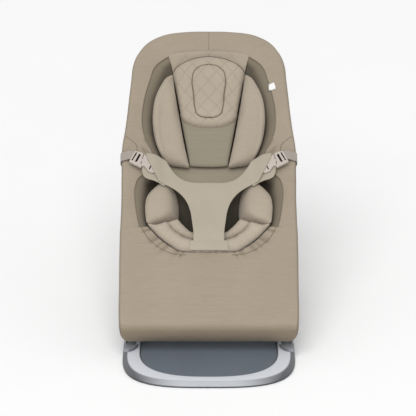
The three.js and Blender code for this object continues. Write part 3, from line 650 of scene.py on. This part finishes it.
def add_studio():
    """Soft light from in front and above, a white surround and a pale floor."""
    world = bpy.data.worlds.new("studio")
    world.use_nodes = True
    nodes, links = world.node_tree.nodes, world.node_tree.links
    nodes["Background"].inputs[0].default_value = grey(1)
    seen = nodes.new("ShaderNodeLightPath").outputs["Is Camera Ray"]
    strength = nodes.new("ShaderNodeMapRange")
    links.new(seen, strength.inputs[0])
    strength.inputs[3].default_value, strength.inputs[4].default_value = 0.52, 1.0
    links.new(strength.outputs[0], nodes["Background"].inputs[1])
    bpy.context.scene.world = world
    add_lamp("key", "SUN", (0.12, 0.75, -0.95), energy=1.75, angle=0.9)
    add_lamp("fill", "AREA", (0, 3.5, -1.3), (0, -3.5, 1.6), shape="DISK", size=1.2, energy=12)
    paint = Finish("floor_paint", Roughness=0.9, Specular_IOR_Level=0.1)
    paint.colour(paint.patches(3.0, 0.985, 0.995, 2.0))
    corners = [(x * FLOOR_REACH, y * FLOOR_REACH, -0.4) for x, y in ((-1, -1), (1, -1), (1, 1), (-1, 1))]
    add_mesh("floor", corners, [(0, 1, 2, 3)], paint.material, Matrix.Scale(MM, 4))


# ---------- cover and lining ----------
FACE_COLUMNS = 42
# The cover's turn over the tubes and its hem below them: (distance in from the outline, height).
TURNS = np.radians([18, 36, 54, 72, 90])
HEM = [(EDGE_RADIUS * (1 - math.sin(a)), EDGE_RADIUS * (math.cos(a) - 1)) for a in TURNS]
HEM += [(-0.2, -15), (0.2, -19), (2, -22.5), (6, -24.5), (12, -25.3), (18, -25)]


def cover_half(lines):
    """Rows of points across the right half of the cover, along the given lines and between them."""
    flat = smooth_line([a + b for a, b in lines], 6.25)
    inner, outer = flat[:, :2], flat[:, 2:]
    heading = np.gradient(outer, axis=0)
    normal = np.column_stack([heading[:, 1], -heading[:, 0]])
    normal /= np.linalg.norm(normal, axis=1)[:, None]
    normal[np.abs(outer[:, 1]) < 400] *= [1, 0]
    normal /= np.linalg.norm(normal, axis=1)[:, None]
    turn = outer - EDGE_RADIUS * normal
    rows = []
    shares = np.linspace(0, 1, FACE_COLUMNS) ** 0.9
    for i, (a, b) in enumerate(zip(inner, turn)):
        plan = a + shares[:, None] * (b - a)
        h = -along(EDGE_DIP, plan[:, 1]) * (1 - shares) ** 1.4
        if lines is SIDE_LINES and i > 0:  # the edge of the opening rolls under
            h = h - 2.6 * np.maximum(0, 1 - shares * np.linalg.norm(b - a) / 4) ** 2
        row = np.column_stack([plan, h])
        side = np.array([[*(outer[i] - inset * normal[i]), drop] for inset, drop in HEM])
        rows.append(np.vstack([row, side]))
    return np.array(rows)


# The seam of the elastic band that holds the cover round the thigh roll, on the right.
BAND_SEAM = [(49, 190), (57, 188.5), (72, 189), (96, 194), (121, 207), (146, 229), (160, 248), (169, 268)]


def gathers(plan):
    """Small puckers of the elastic band beside the thigh roll, and the groove of its seam: how far they lift
    the cover, and how much they shade it."""
    x, s = np.abs(plan[:, 0]), plan[:, 1]
    beyond = 0.8 * (s - along(BAND_SEAM, x))
    run = np.hypot(x - 40, s - 300)
    angle = np.arctan2(s - SEAT_MIDDLE, x)
    folds = np.sin(angle * 46 + 1.6 * np.sin(angle * 17)) * (0.7 + 0.3 * np.sin(angle * 29 + 2))
    inside = ease((x - 56) / 16) * ease((176 - x) / 8)
    strength = inside * np.where(beyond > 0, 1.0, np.exp(np.minimum(beyond, 0) / 7.0))
    groove = inside * np.exp(-((beyond / 2.2) ** 2))
    near = run < 260
    lift = np.where(near, 2.3 * strength * folds - 1.6 * groove, 0)
    return lift, np.where(near, strength * np.clip(0.5 - 0.6 * folds, 0, 1) ** 2, 0)


def make_cover():
    points, faces = [], []
    for lines in (FOOT_LINES, SIDE_LINES):
        half = cover_half(lines)
        for side in (1, -1):
            start = len(points)
            points += list((half * [side, 1, 1]).reshape(-1, 3))
            for f in grid_faces(*half.shape[:2]):
                face = tuple(start + k for k in f)
                faces.append(face if side > 0 else face[::-1])
    flat = np.array(points)
    on_face = flat[:, 2] > -9
    puckers, shadow = gathers(flat)
    lift = 0.7 * wander(flat * [1, 0.7, 0], 90, 3) + 0.35 * wander(flat * [1, 1, 0], 31, 5) + puckers
    flat[:, 2] += np.where(on_face, lift, 0.25 * lift)
    hem = ease((-66 - flat[:, 1]) / 18)
    flat[:, 1] += hem * 1.8 * wander(flat * [1, 0, 0], 55, 11)
    flat[:, 2] += hem * 1.2 * wander(flat * [1, 0, 0], 38, 17) * ease(np.abs(flat[:, 0]) / 30)
    cover = add_mesh("seat_cover_fabric", skin(flat[:, 0], flat[:, 1], flat[:, 2]), faces, COVER)
    # the painted shadow of the puckers, kept as "fold" for the cover's jersey
    store(cover, "fold", np.where(on_face, shadow, 0))
    weld = cover.modifiers.new("weld", "WELD")
    weld.merge_threshold = 0.4 * MM
    thicken(cover, COVER_THICKNESS)
    apply_modifiers(cover)
    return cover


def make_lining():
    rows = np.r_[np.arange(150, 180, 5), np.arange(180, 224, 2.5), np.arange(226, 812, 6), 812]
    share = np.linspace(-1, 1, 73)
    points = []
    for s in rows:
        half = along(OPENING, s) + LINING_MARGIN
        x = half * np.sign(share) * np.abs(share) ** 0.8
        h = sling_height(x, np.full_like(x, s)) - 3.4
        inward = np.clip((along(OPENING, s) - np.abs(x)) / 20, 0, 1)
        points += list(np.column_stack([x, np.full_like(x, s), h - 2.5 * inward]))
    flat = np.array(points)
    flat[:, 2] += 0.9 * wander(flat * [1, 1, 0], 70, 21)
    lining = add_mesh("sling_lining", flat, grid_faces(len(rows), len(share)), LINING)
    lining.data.materials.append(COVER)
    # Painted shade of the lining: darker further in from the opening's edge, and less dark near its top; kept
    # as "depth".
    inset = along(OPENING, flat[:, 1]) - np.abs(flat[:, 0])
    shadow = (0.12 + 0.88 * ease((inset - 10) / 20)) * (0.68 + 0.32 * ease((705 - flat[:, 1]) / 70))
    store(lining, "depth", shadow)
    thicken(lining, LINING_THICKNESS).material_offset = 1
    apply_modifiers(lining)
    return lining


# ---------- padded insert ----------
def floor_above(lowest):
    """The floor of a pad that bridges what lies lower than the given height."""
    return lambda x, s: np.maximum(pad_floor(x, s), lowest)


def pad_floor(x, s):
    """Height of a pad's back on the sling, higher where the sling is steep."""
    slope = np.abs(sling_height(np.abs(x) + 3, s) - sling_height(np.abs(x) - 3, s)) / 6
    return sling_height(x, s) + 2.5 + 3 * slope


CLOTH_FRAMES = 20
CLOTH = {
    "use_pressure": True, "uniform_pressure_force": 4.0, "quality": 5, "mass": 0.25, "tension_stiffness": 12,
    "compression_stiffness": 12, "bending_stiffness": 0.6,
}


def inflate(pads):
    """Blows each (pad, cap, fill) up as cloth and keeps what it gained, at most cap millimetres anywhere;
    fill is not used.
    """
    starts = []
    for piece, *_ in pads:
        cloth = piece.modifiers.new("cloth", "CLOTH")
        for key, value in CLOTH.items():
            setattr(cloth.settings, key, value)
        cloth.settings.effector_weights.gravity = 0
        cloth.collision_settings.use_collision = False
        cloth.point_cache.frame_end = CLOTH_FRAMES
        starts.append(coordinates(piece))
    for number in range(1, CLOTH_FRAMES + 1):
        bpy.context.scene.frame_set(number)
    graph = bpy.context.evaluated_depsgraph_get()
    ends = []
    for piece, *_ in pads:
        found = piece.evaluated_get(graph).to_mesh()
        moved = np.zeros(len(found.vertices) * 3)
        found.vertices.foreach_get("co", moved)
        ends.append(moved.reshape(-1, 3))
    for (piece, cap, _), start, end in zip(pads, starts, ends):
        piece.modifiers.clear()
        gain = end - start
        gain -= gain.mean(0)
        size = np.maximum(np.linalg.norm(gain, axis=1), 1e-9)
        limit = cap * MM
        gain *= (limit * np.tanh(size / limit) / size)[:, None]
        reshape(piece, start + gain)
    bpy.context.scene.frame_set(1)


WING_INNER = [(95, 730), (84, 665), (71, 588), (60, 520), (48.5, 452)]
WING_HEM = [(48.5, 452), (70, 455), (92, 459), (110, 466)]
WING_OUTER = [
    (110, 466), (123, 480), (135, 508), (143, 543), (147, 580), (146, 618), (140, 655), (127, 690),
    (111, 718), (95, 730),
]


def wing_base(x, s):
    return np.maximum(pad_floor(x, s), -34 + 8 * ease((s - 600) / 100))


def make_wing(side, name):
    outline = on_side(cornered(WING_INNER, WING_HEM, WING_OUTER), side)

    def top(x, s, d):
        inner = ease((np.abs(x) - along([(452, 48), (730, 95)], s)) / 26)
        return wing_base(x, s) + 2 + 14 * crown(d, 13) + 8 * inner * crown(d, 42)

    def bottom(x, s, d):
        return wing_base(x, s) + 2 - 2 * crown(d, 8)

    return outline_body(name, outline, 5, top, bottom, INSERT)


SUPPORT_LOW = [(0, 569), (24, 570), (48, 576), (66, 588), (73, 600)]
SUPPORT_SIDE = [(73, 600), (84, 664), (95.5, 730)]
SUPPORT_TOP = [(95.5, 730), (88, 742), (72, 754), (48, 764), (24, 770), (0, 772)]


def support_outline(step):
    return whole(SUPPORT_LOW, SUPPORT_SIDE, SUPPORT_TOP, step=step)


def support_base(x, s):
    return np.maximum(pad_floor(x, s), -33 + 15 * ease((s - 690) / 80))


def support_top(x, s, d):
    return support_base(x, s) + 5 + 15 * crown(d, 9) + 7 * crown(d, 48)


def make_support():
    return outline_body(
        "head_support_pad", support_outline(4.5), 4.5, support_top,
        lambda x, s, d: support_base(x, s) + 5 - 3 * crown(d, 8), QUILTED,
    )


PILLOW_RIGHT = [
    (0, 590), (18, 591.5), (30, 599), (36.5, 620), (40, 658), (43.5, 702), (39.5, 722), (25, 736), (0, 741.5),
]


def make_pillow():
    """The pillow, its outline, and the face of the support that it was made for."""
    shape = smooth_line(both_halves(PILLOW_RIGHT), 3, closed=True)
    support = support_outline(8)

    def under(x, s):
        inside = np.maximum(0, inside_distance(np.column_stack([x, s]), support))
        return support_top(x, s, inside)

    return pad("head_pillow_pad", shape, 4, under, 0.6, (5, 9), (2, 6), QUILTED), shape, under


def quilt(piece, depth, across, up, origin):
    """Presses crossing diagonal seams into the upper face, a diamond pattern of the given half sizes."""
    points = in_seat(coordinates(piece))
    piece.data.update()
    normals = np.zeros(len(points) * 3)
    piece.data.vertices.foreach_get("normal", normals)
    facing = normals.reshape(-1, 3) @ np.array(SEAT.to_3x3() @ Vector((0, 0, 1 / MM)))
    groove = 0
    for sign in (1, -1):
        phase = points[:, 0] / across + sign * (points[:, 1] - origin) / up
        off = np.abs((phase - 1) / 2 - np.round((phase - 1) / 2)) * 2
        distance = off * across * up / math.hypot(across, up)
        groove = groove + np.exp(-(distance / 2.3) ** 2)
    points[:, 2] -= depth * np.minimum(groove, 1.3) * np.clip(facing, 0, 1)
    reshape(piece, in_world(points))


FLAP_LOW = [(0, 763), (40, 757), (70, 747), (93, 727)]
FLAP_SIDE = [(93, 727), (100, 755), (107.5, 781)]
FLAP_TOP = [(107.5, 781), (84, 786), (40, 790), (0, 791)]


def make_flap():
    def rest(x, s):
        arc = along(FLAP_LOW, np.abs(x))
        return along([(730, -22), (748, -14), (765, -9.5), (784, 0.2), (800, 1.2)], s - 0.15 * (763 - arc))

    outline = whole(FLAP_LOW, FLAP_SIDE, FLAP_TOP, step=4)
    return pad("top_flap_pad", outline, 4.5, rest, 0.6, (2.2, 5), (0.8, 5), FLAP_CLOTH)


CENTRE_SIDE = [(50, 459), (61.5, 522), (72.5, 588), (77.5, 620)]
CENTRE_TOP = [(77.5, 620), (-77.5, 620)]
CENTRE_HEM = [(-50, 459), (-24, 456.5), (0, 456), (24, 456.5), (50, 459)]


def make_centre_panel():
    """The smooth middle of the back, between the wings and under the head support."""
    left = [(-x, s) for x, s in reversed(CENTRE_SIDE)]
    outline = cornered(CENTRE_SIDE, CENTRE_TOP, left, CENTRE_HEM)
    return pad("centre_panel_pad", outline, 6, floor_above(CENTRE_FLOOR), 3, (8, 12), (2, 6), BACK)


LOWER_BACK = [
    (0, 478), (60, 480), (104, 476), (122, 462), (126, 442), (112, 424), (84, 412), (40, 408), (0, 407),
]


def make_lower_back():
    """The lower back, which shows between the wings' hem and the bib."""
    outline = smooth_line(both_halves(LOWER_BACK), 5, closed=True)
    return pad("lower_back_pad", outline, 6, floor_above(LOWER_FLOOR), 1, (7, 14), (1.5, 6), LOWER)


SEAT_PAD = [
    (0, 244), (58, 250), (84, 290), (112, 330), (122, 370), (116, 410), (90, 430), (40, 436), (0, 436),
]


def make_seat_pad():
    # Near black and wide, as painted shade of the seat's hollow beside and under the bib.
    base = floor_above(SEAT_FLOOR)

    def full(x, s):
        return 4 + 12 * ease((345 - s) / 40) * ease((70 - np.abs(x)) / 20)

    outline = smooth_line(both_halves(SEAT_PAD), 5, closed=True)
    return outline_body(
        "seat_pad_cushion", outline, 6, lambda x, s, d: base(x, s) + 2 + full(x, s) * crown(d, 20),
        lambda x, s, d: base(x, s) + 2 - 1.5 * crown(d, 8), SEAT_PAD_SHADE,
    )


BOLSTER_OUTER = [(158, 282), (161, 305), (162, 335), (158, 360), (143, 386), (128, 402), (104, 406)]
BOLSTER_INNER = [(104, 406), (86, 388), (78, 362), (76, 335), (77, 306)]
BOLSTER_CREASE = [(78, 306), (108, 290), (140, 279), (158, 282)]
ROLL_OUTER = [
    (57, 199), (72, 201), (96, 216), (122, 237), (148, 265), (158, 281), (140, 277.5), (108, 288.5),
]
ROLL_INNER = [(108, 288.5), (93, 267), (70, 250), (41, 238.5), (0, 234)]
ROLL_FRONT = [(0, 196), (40, 196), (57, 199)]
LIP_OUTER = [(0, 234), (41, 238.5), (70, 250), (93, 267), (108, 288.5), (78, 304)]
LIP_INNER = [(78, 304), (66, 288), (44, 266), (0, 256)]


def make_bolster(side, name):
    outline = on_side(cornered(BOLSTER_OUTER, BOLSTER_INNER, BOLSTER_CREASE), side)
    base = floor_above(BOLSTER_FLOOR)

    def top(x, s, d):
        edge = base(x, s) + 4
        inner = ease((np.abs(x) - 76) / 40)
        crease = ease((s - along([(78, 306), (108, 290), (140, 279), (162, 270)], np.abs(x))) / 22)
        full = -1 - 16 * (1 - inner) - 5 * (1 - crease)
        return edge + (full - edge) * crown(d, 15 + 13 * (1 - inner))

    def bottom(x, s, d):
        return base(x, s) + 4 - 3 * crown(d, 8)

    return outline_body(name, outline, 4.5, top, bottom, INSERT)


def roll_body(name, front, inner, level, height, reach, material):
    """One of the two rolls in front of the seat, made whole from its right half."""
    outline = whole(front, inner, step=4)

    def rim(x, s):
        return np.maximum(pad_floor(x, s) * 0.5 + level * 0.5, level)

    return outline_body(
        name, outline, 4.5, lambda x, s, d: rim(x, s) + (height - rim(x, s)) * crown(d, reach),
        lambda x, s, d: rim(x, s) - 12 * crown(d, reach), material,
    )


def make_rolls():
    front = list(cornered(ROLL_FRONT, ROLL_OUTER, step=4)) + [ROLL_INNER[0]]
    thigh = roll_body("thigh_roll_pad", front, ROLL_INNER, -17, 0, 15, LIT_ROLL)
    lip = roll_body("seat_lip_pad", LIP_OUTER, LIP_INNER, -34, -15, 9, LIT_ROLL)
    return thigh, lip


def pucker(piece, depth, lowest):
    """Small pulls across a roll above a height, fanned out from the middle of the seat."""
    points = in_seat(coordinates(piece))
    angle = np.arctan2(points[:, 1] - SEAT_MIDDLE, np.abs(points[:, 0]))
    folds = np.sin(angle * 27 + 2.2 * np.sin(angle * 9)) * (0.55 + 0.45 * np.sin(angle * 13 + 1))
    points[:, 2] += depth * folds * ease((points[:, 2] - lowest) / 12)
    reshape(piece, in_world(points))


def heights_on(target, places):
    """Heights of a piece's upper face at places of the seat plane; NaN beside the piece."""
    tree = BVHTree.FromObject(target, bpy.context.evaluated_depsgraph_get())
    down = (SEAT.to_3x3() @ Vector((0, 0, -1))).normalized()
    heights = []
    for x, s in places:
        found = tree.ray_cast(SEAT @ Vector((x, s, 60)), down)[0]
        heights.append((SEAT.inverted() @ found).z if found else math.nan)
    return np.array(heights)


def lie_on(piece, target, made_for):
    """Moves a piece up or down by what its target's face differs from the face it was made for."""
    points = in_seat(coordinates(piece))
    places = points[:, :2]
    change = heights_on(target, places) - made_for(places[:, 0], places[:, 1])
    points[:, 2] += np.nan_to_num(change)
    reshape(piece, in_world(points))


def seam_line(name, points, target, radius=0.7, sink=0.1, material=SEAM, step=3):
    """A line of sewing that lies on the face of another piece."""
    line = smooth_line(points, step)
    path = np.column_stack([line, heights_on(target, line) + radius * sink])
    return tube(name, path[~np.isnan(path[:, 2])], radius, material, flat=0.7)


# ---------- harness ----------
BIB_LOWER_EDGE = [
    (34, 206), (37, 216), (39, 228), (39, 248), (42, 274), (47, 307), (56, 333), (72, 356), (96, 375),
    (127, 391),
]
BIB_END = [(127, 391), (137, 412), (149, 436), (158, 457), (161, 471)]
BIB_UPPER_EDGE = [(161, 471), (148, 469.5), (124, 461), (109, 453)]
BIB_NECK = [(109, 453), (98, 433), (83, 412), (62, 396), (42, 390.5), (0, 390)]
TAB = [
    (112, 380), (128, 389), (142, 396), (155, 400), (165, 407), (170, 419), (172, 434), (176, 450),
    (166, 458), (148, 446), (124, 415),
]


def bib_outline():
    upper = whole(BIB_LOWER_EDGE, BIB_END, BIB_UPPER_EDGE, BIB_NECK, step=3.5)
    foot = [(x, 206) for x in np.arange(-30, 31, 4)]
    return np.vstack([upper, [-34, 206], foot])


def bib_level(x, s):
    """Middle height of the bib: it dips into the crotch sleeve, and its arms rise over the buckles."""
    dip = -4.9 * ease((248 - s) / 24)
    rise = 10.5 * ease((np.abs(x) - 108) / 34)
    return 6.8 + dip + rise


def make_bib():
    bib = pad("harness_bib_cloth", bib_outline(), 4.5, bib_level, 0, (1.9, 4.5), (1.1, 4.5), BIB)
    points = in_seat(coordinates(bib))
    points[:, 2] += 0.5 * wander(points * [1, 1, 0], 60, 31) * ease((points[:, 1] - 250) / 30)
    reshape(bib, in_world(points))
    return bib


def make_tab(side, name):
    """The under layer of the bib's arm, which shows below the buckle."""
    def level(x, s):
        return 5.2 + 2.0 * ease((np.abs(x) - 112) / 20)

    outline = on_side(smooth_line(TAB, 3.5, closed=True), side)
    return pad(name, outline, 4, level, 0, (1.8, 3.5), (1.0, 3.5), BIB)


def make_sleeve():
    rows, cols = 15, 41
    points = []
    for v in np.linspace(0, 1, rows):
        for u in np.linspace(-1, 1, cols):
            bulge = 1.2 * math.sin(math.pi * v) ** 0.4
            points.append((49 * u, 198.5 + 28 * v, 3.4 + bulge - 1.5 * abs(u) ** 8))
    sleeve = add_mesh("crotch_sleeve_cloth", points, grid_faces(rows, cols), BIB)
    thicken(sleeve, SLEEVE_THICKNESS)
    apply_modifiers(sleeve)
    return sleeve


# The webbing from the buckle over the side tube: (distance from the middle, height).
STRAP_RUN = [
    (192, 12.2), (199, 12.4), (206, 11), (213, 6.5), (219, 3.4), (223.2, 0.6), (225.6, -5), (226, -14),
    (225.4, -22), (221, -27.5),
]
STRAP_MIDDLE, STRAP_WIDTH = 468.5, 25


def make_strap(side, name):
    line = smooth_line(STRAP_RUN, 2)
    widths = np.linspace(-STRAP_WIDTH / 2, STRAP_WIDTH / 2, 11)
    points = [(side * x, STRAP_MIDDLE + w, h) for x, h in line for w in widths]
    faces = grid_faces(len(line), len(widths))
    strap = add_mesh(name, points, faces if side < 0 else [f[::-1] for f in faces], WEBBING)
    thicken(strap, WEBBING_THICKNESS, 0.0)
    apply_modifiers(strap)
    return strap


# Each plate's underside, face and rounding.
MALE_LEVELS, FEMALE_LEVELS = (9.6, 17.2, 1.6), (9.8, 16, 1.4)
MALE_PLATE = [
    ((203.5, 446.5), (197, 462), (190, 477.5)),
    ((190, 477.5), (179, 475.5), (166.5, 470)),
    ((166.5, 470), (171, 452), (175.5, 430.8)),
    ((175.5, 430.8), (189, 437.5), (203.5, 446.5)),
]
MALE_SLOTS = [((195.8, 449.5), (184.4, 472.2), 1.7), ((186.2, 444.4), (175.6, 467.0), 2.8)]
FEMALE_PLATE = [
    ((166, 469.6), (160, 464), (154, 454), (148, 440), (143, 428)),
    ((143, 428), (139, 421), (137.5, 415)),
    ((137.5, 415), (144, 414), (151, 416.5)),
    ((151, 416.5), (156.5, 421.5), (160, 427.5)),
    ((160, 427.5), (164.5, 433), (170, 434.5), (175, 430.9)),
    ((175, 430.9), (170.4, 452), (166, 469.6)),
]
FEMALE_SLOTS = [((152.2, 423.5), (146.8, 434.5), 1.5)]


def slotted_plate(side, name, runs, slots, low, high, edge):
    """A moulded plate with rounded edges, and slots cut into it from above, whose walls and floors are near
    black as painted shadow.
    """
    outline = on_side(cornered(*runs, step=2.2), side)
    heading = np.roll(outline, -1, axis=0) - np.roll(outline, 1, axis=0)
    inward = np.column_stack([-heading[:, 1], heading[:, 0]]) / np.linalg.norm(heading, axis=1)[:, None]
    levels = [(0, low), (0, high - edge), (0.3 * edge, high - 0.3 * edge), (edge, high)]
    points = [(*p, h) for inset, h in levels for p in outline + inset * inward]
    count = len(outline)
    faces = [tuple(range(count))[::-1], tuple(range(3 * count, 4 * count))]
    for level in range(3):
        for k in range(count):
            a, b = level * count + k, level * count + (k + 1) % count
            faces.append((a, b, b + count, a + count))
    plate = add_mesh(name, points, faces, BUCKLE)
    for a, b, half in slots:
        a, b = Vector((side * a[0], a[1])), Vector((side * b[0], b[1]))
        run = (b - a).normalized()
        across = Vector((-run.y, run.x)) * half
        ring = [a - across, b - across, b + across, a + across]
        corners = [(*p, h) for h in (low + 1, high + 3) for p in ring]
        box = [(3, 2, 1, 0), (4, 5, 6, 7), (0, 1, 5, 4), (1, 2, 6, 5), (2, 3, 7, 6), (3, 0, 4, 7)]
        cutter = add_mesh(name + "_cutter", corners, box, SLOT_SHADOW)
        difference = plate.modifiers.new("slot", "BOOLEAN")
        difference.object, difference.solver, difference.material_mode = cutter, "EXACT", "TRANSFER"
        apply_modifiers(plate)
        bpy.data.objects.remove(cutter)
    plate.data.polygons.foreach_set("use_smooth", [False] * len(plate.data.polygons))
    return plate


# ---------- base ----------
def ring_point(angle, inset):
    """A point of the ring's outline, moved in; its ends are superellipses."""
    share = inset / RING["rail"]
    power = RING["outer_power"] + share * (RING["inner_power"] - RING["outer_power"])

    def swing(v):
        return np.sign(v) * np.abs(v) ** (2 / power)

    x = (RING["half_width"] - inset) * swing(np.cos(angle))
    y = (RING["end"] - 0.75 * inset) * swing(np.sin(angle))
    centre = np.where(np.sin(angle) < 0, RING["end"], RING["length"] - RING["end"])
    return x, y + centre + RING_FRONT


# Sections as (distance in from the ring's outer edge, height).
RING_SECTION = [
    (0, 4), (0.2, 5), (0.9, 6), (9.2, 14.2), (10.6, 15.3), (12.4, 15.9), (14, 16), (26, 16), (40, 16),
    (41.8, 15.7), (42.8, 14.8), (43, 13.6), (43, 4),
]
GRIP_SECTION = [(1.5, 0), (1.5, 3.7), (41.5, 3.7), (41.5, 0)]
PANEL_GAP, PANEL_LENGTH = 0.9, 300


def ring_angles():
    quarter = np.radians(np.r_[0.15, 0.8, 2, 3.5, np.arange(6, 85, 3), 86.5, 88, 89.2, 89.85])
    return np.concatenate([quarter + k * math.pi / 2 for k in range(4)])


def make_rail(name, section, material):
    angles = ring_angles()
    points = []
    for inset, z in section:
        x, y = ring_point(angles, inset)
        points += list(np.column_stack([x, y, np.full_like(x, z)]))
    faces = grid_faces(len(section), len(angles), closed_rows=True, closed_cols=True)
    return add_mesh(name, points, faces, material, Matrix.Scale(MM, 4))


def make_panel():
    angles = ring_angles()
    front = angles[angles > math.pi]
    x, y = ring_point(front, RING["rail"] + PANEL_GAP)
    rear = RING_FRONT + PANEL_LENGTH
    half = RING["half_width"] - RING["rail"] - PANEL_GAP
    sides = np.linspace(RING_FRONT + RING["end"] + 5, rear, 24)
    right = [(half, v) for v in sides]
    back = [(v, rear) for v in np.linspace(half, -half, 60)[1:-1]]
    left = [(-half, v) for v in sides[::-1]]
    outline = np.array(right + back + left + list(zip(x, y)))
    return outline_body(
        "base_panel_sheet", outline, 12, lambda a, b, d: 12.6 + 1.4 * crown(d, 3),
        lambda a, b, d: 12.6 - 6.6 * crown(d, 1), SLATE, rings=(0.06, 0.14, 0.25), matrix=Matrix.Scale(MM, 4),
    )


def dress(names, material, bevel=0.5, angle=35):
    """Gives CAD nodes their finish, rounds their sharp edges and smooths their round faces."""
    for name in names:
        node = frame["nodes"][name]
        node.data.materials.clear()
        node.data.materials.append(material)
        bpy.context.view_layer.objects.active = node
        bpy.ops.mesh.customdata_custom_splitnormals_clear()
        node.data.polygons.foreach_set("use_smooth", [True] * len(node.data.polygons))
        weld = node.modifiers.new("weld", "WELD")
        weld.merge_threshold = 0.00002
        if bevel:
            rounding = node.modifiers.new("rounding", "BEVEL")
            rounding.width, rounding.segments = bevel * MM, 2
            rounding.limit_method, rounding.angle_limit = "ANGLE", math.radians(angle)
        node.modifiers.new("normals", "WEIGHTED_NORMAL")


def both(*names):
    return [f"{name}_{side}" for name in names for side in SIDES]


TAG_OUTLINE = [
    (157, 672), (166, 674), (175.5, 676), (174.7, 685), (174, 697), (165, 695), (155.5, 693), (156.3, 682),
]


def make_tag():
    return outline_body(
        "side_tag_cloth", TAG_OUTLINE, 4, lambda x, s, d: sling_height(x, s) + 1.4,
        lambda x, s, d: sling_height(x, s) + 0.8, TAG, rings=(0.2,),
    )


def settle(piece, body, slot, *nodes):
    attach(piece, body)
    if nodes:
        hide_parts(*nodes)
    return piece


# ---------- assembly ----------
add_camera()
add_studio()
bpy.context.scene.view_settings.view_transform = "Standard"

dress(["panel_stiffener"], ALUMINIUM)
dress(both("hinge_housing"), SILVER, 0.8)
dress(both("hinge_cap"), SILVER, 0.8)
dress(both("bump_stop"), RUBBER, 0.8)
dress(both("hinge_pin", "spring_arm", "slide_pin", "seat_knuckle"), STEEL, 0.5)
dress(both("recline_track"), STEEL, 0.4)
dress(["strut_cross_tube"] + both("strut_leg"), BLACK_TUBE, 0.4, 50)
dress(["head_bow"] + both("side_tube"), BLACK_TUBE, 0, 50)
dress(["foot_former"] + both("strut_bearing", "release_lever"), DARK_PLASTIC, 0.6)
dress(both("prong_upper", "prong_lower"), BUCKLE, 0.5)

settle(make_rail("base_ring_rail", RING_SECTION, ALUMINIUM), "base", "satin_aluminium", "base_ring")
settle(make_rail("grip_strip_rail", GRIP_SECTION, RUBBER), "base", "grip_rubber", "grip_strip")
settle(make_panel(), "base", "slate_panel", "base_panel")

cover = settle(make_cover(), "seat", "cover_fabric", "cover_front_panel", "cover_head_panel")
lining = settle(make_lining(), "seat", "lining_fabric", "seat_sling", "back_sling")

wings = {side: make_wing(sign, f"wing_pad_{side}") for side, sign in SIDES.items()}
bolsters = {side: make_bolster(sign, f"bolster_pad_{side}") for side, sign in SIDES.items()}
support = make_support()
pillow, pillow_shape, pillow_under = make_pillow()
flap = make_flap()
centre_panel = make_centre_panel()
lower_back = make_lower_back()
seat_pad = make_seat_pad()
thigh_roll, seat_lip = make_rolls()
# Each pad, how far the cloth simulation may move it in millimetres, and how full it is.
pads = [
    (wings["left"], 3.5, 0.6), (wings["right"], 3.5, 0.6),
    (bolsters["left"], 4, 0.7), (bolsters["right"], 4, 0.7),
    (support, 2.5, 0.6), (pillow, 1.2, 0.5), (flap, 0.8, 0.3), (centre_panel, 2, 0.4), (lower_back, 2, 0.4),
    (seat_pad, 5, 0.6), (thigh_roll, 3, 0.8), (seat_lip, 2, 0.7),
]
inflate(pads)
for piece, *_ in pads:
    smoother = piece.modifiers.new("smooth", "SMOOTH")
    smoother.iterations = 2
    refine(piece)
refine(support)
lie_on(pillow, support, pillow_under)
loop = np.vstack([pillow_shape, pillow_shape[:2]])
piping = tube("pillow_piping", np.column_stack([loop, heights_on(support, loop) + 0.9]), 1.4, PIPING)
quilt(support, 1.5, **HEAD_QUILT)
quilt(pillow, 1.5, **HEAD_QUILT)
quilt(flap, 1.0, **FLAP_QUILT)
pucker(thigh_roll, 2.3, -20)
pucker(seat_lip, 1.2, -34)

for side in SIDES:
    settle(wings[side], "seat", "insert_fabric", f"insert_wing_{side}")
    settle(bolsters[side], "seat", "insert_fabric", f"hip_bolster_{side}")
settle(support, "seat", "insert_fabric", "head_support")
settle(pillow, "seat", "insert_fabric", "head_pillow")
settle(flap, "seat", "insert_fabric", "insert_top_flap")
settle(centre_panel, "seat", "lining_fabric", "insert_back_panel")
settle(lower_back, "seat", "lining_fabric")
settle(seat_pad, "seat", "lining_fabric", "seat_pad")
settle(thigh_roll, "seat", "insert_fabric", "thigh_roll")
settle(seat_lip, "seat", "insert_fabric")
settle(piping, "seat", "insert_fabric")
# A dark tube along the support's top arc: partly its seam, partly painted shadow in the crease there.
arc = np.array(SUPPORT_TOP + [(-x, s) for x, s in SUPPORT_TOP[-2::-1]]) * [0.985, 1] + [0, -2.6]
settle(seam_line("support_seam_and_shadow", arc, support, 1.9, material=CREASE_SHADOW), "seat", "insert_fabric")

bib = make_bib()
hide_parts("harness_bib")
fold_start, fold_end = in_world([(0, 224, 0), (0, 250, 0)])
tuple(fold_start)
tuple(fold_end)
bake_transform(bib)
for side, sign in SIDES.items():
    settle(make_tab(sign, f"bib_tab_{side}"), "harness", "bib_fabric")
    male = slotted_plate(sign, f"buckle_male_plate_{side}", MALE_PLATE, MALE_SLOTS, *MALE_LEVELS)
    settle(male, "seat", "buckle_plastic", f"buckle_male_{side}")
    female = slotted_plate(sign, f"buckle_female_plate_{side}", FEMALE_PLATE, FEMALE_SLOTS, *FEMALE_LEVELS)
    settle(female, "harness", "buckle_plastic", f"buckle_female_{side}")
sleeve = settle(make_sleeve(), "seat", "bib_fabric", "crotch_sleeve")
for side, sign in SIDES.items():
    settle(make_strap(sign, f"side_webbing_{side}"), "seat", "webbing", f"side_strap_{side}")

settle(seam_line("head_seam", [(0, 794), (0, 849)], cover, 0.6), "seat", "cover_fabric")
for side, sign in SIDES.items():
    seam = [(sign * x, s) for x, s in ((214, 530), (200, 519), (187, 507), (184, 488))]
    settle(seam_line(f"side_seam_{side}", seam, cover, 0.9), "seat", "cover_fabric")
    seam = [(sign * x, s) for x, s in BAND_SEAM[1:]]
    settle(seam_line(f"band_seam_{side}", seam, cover, 0.9, material=PIPING), "seat", "cover_fabric")
settle(make_tag(), "seat", "tag_white", "side_tag")
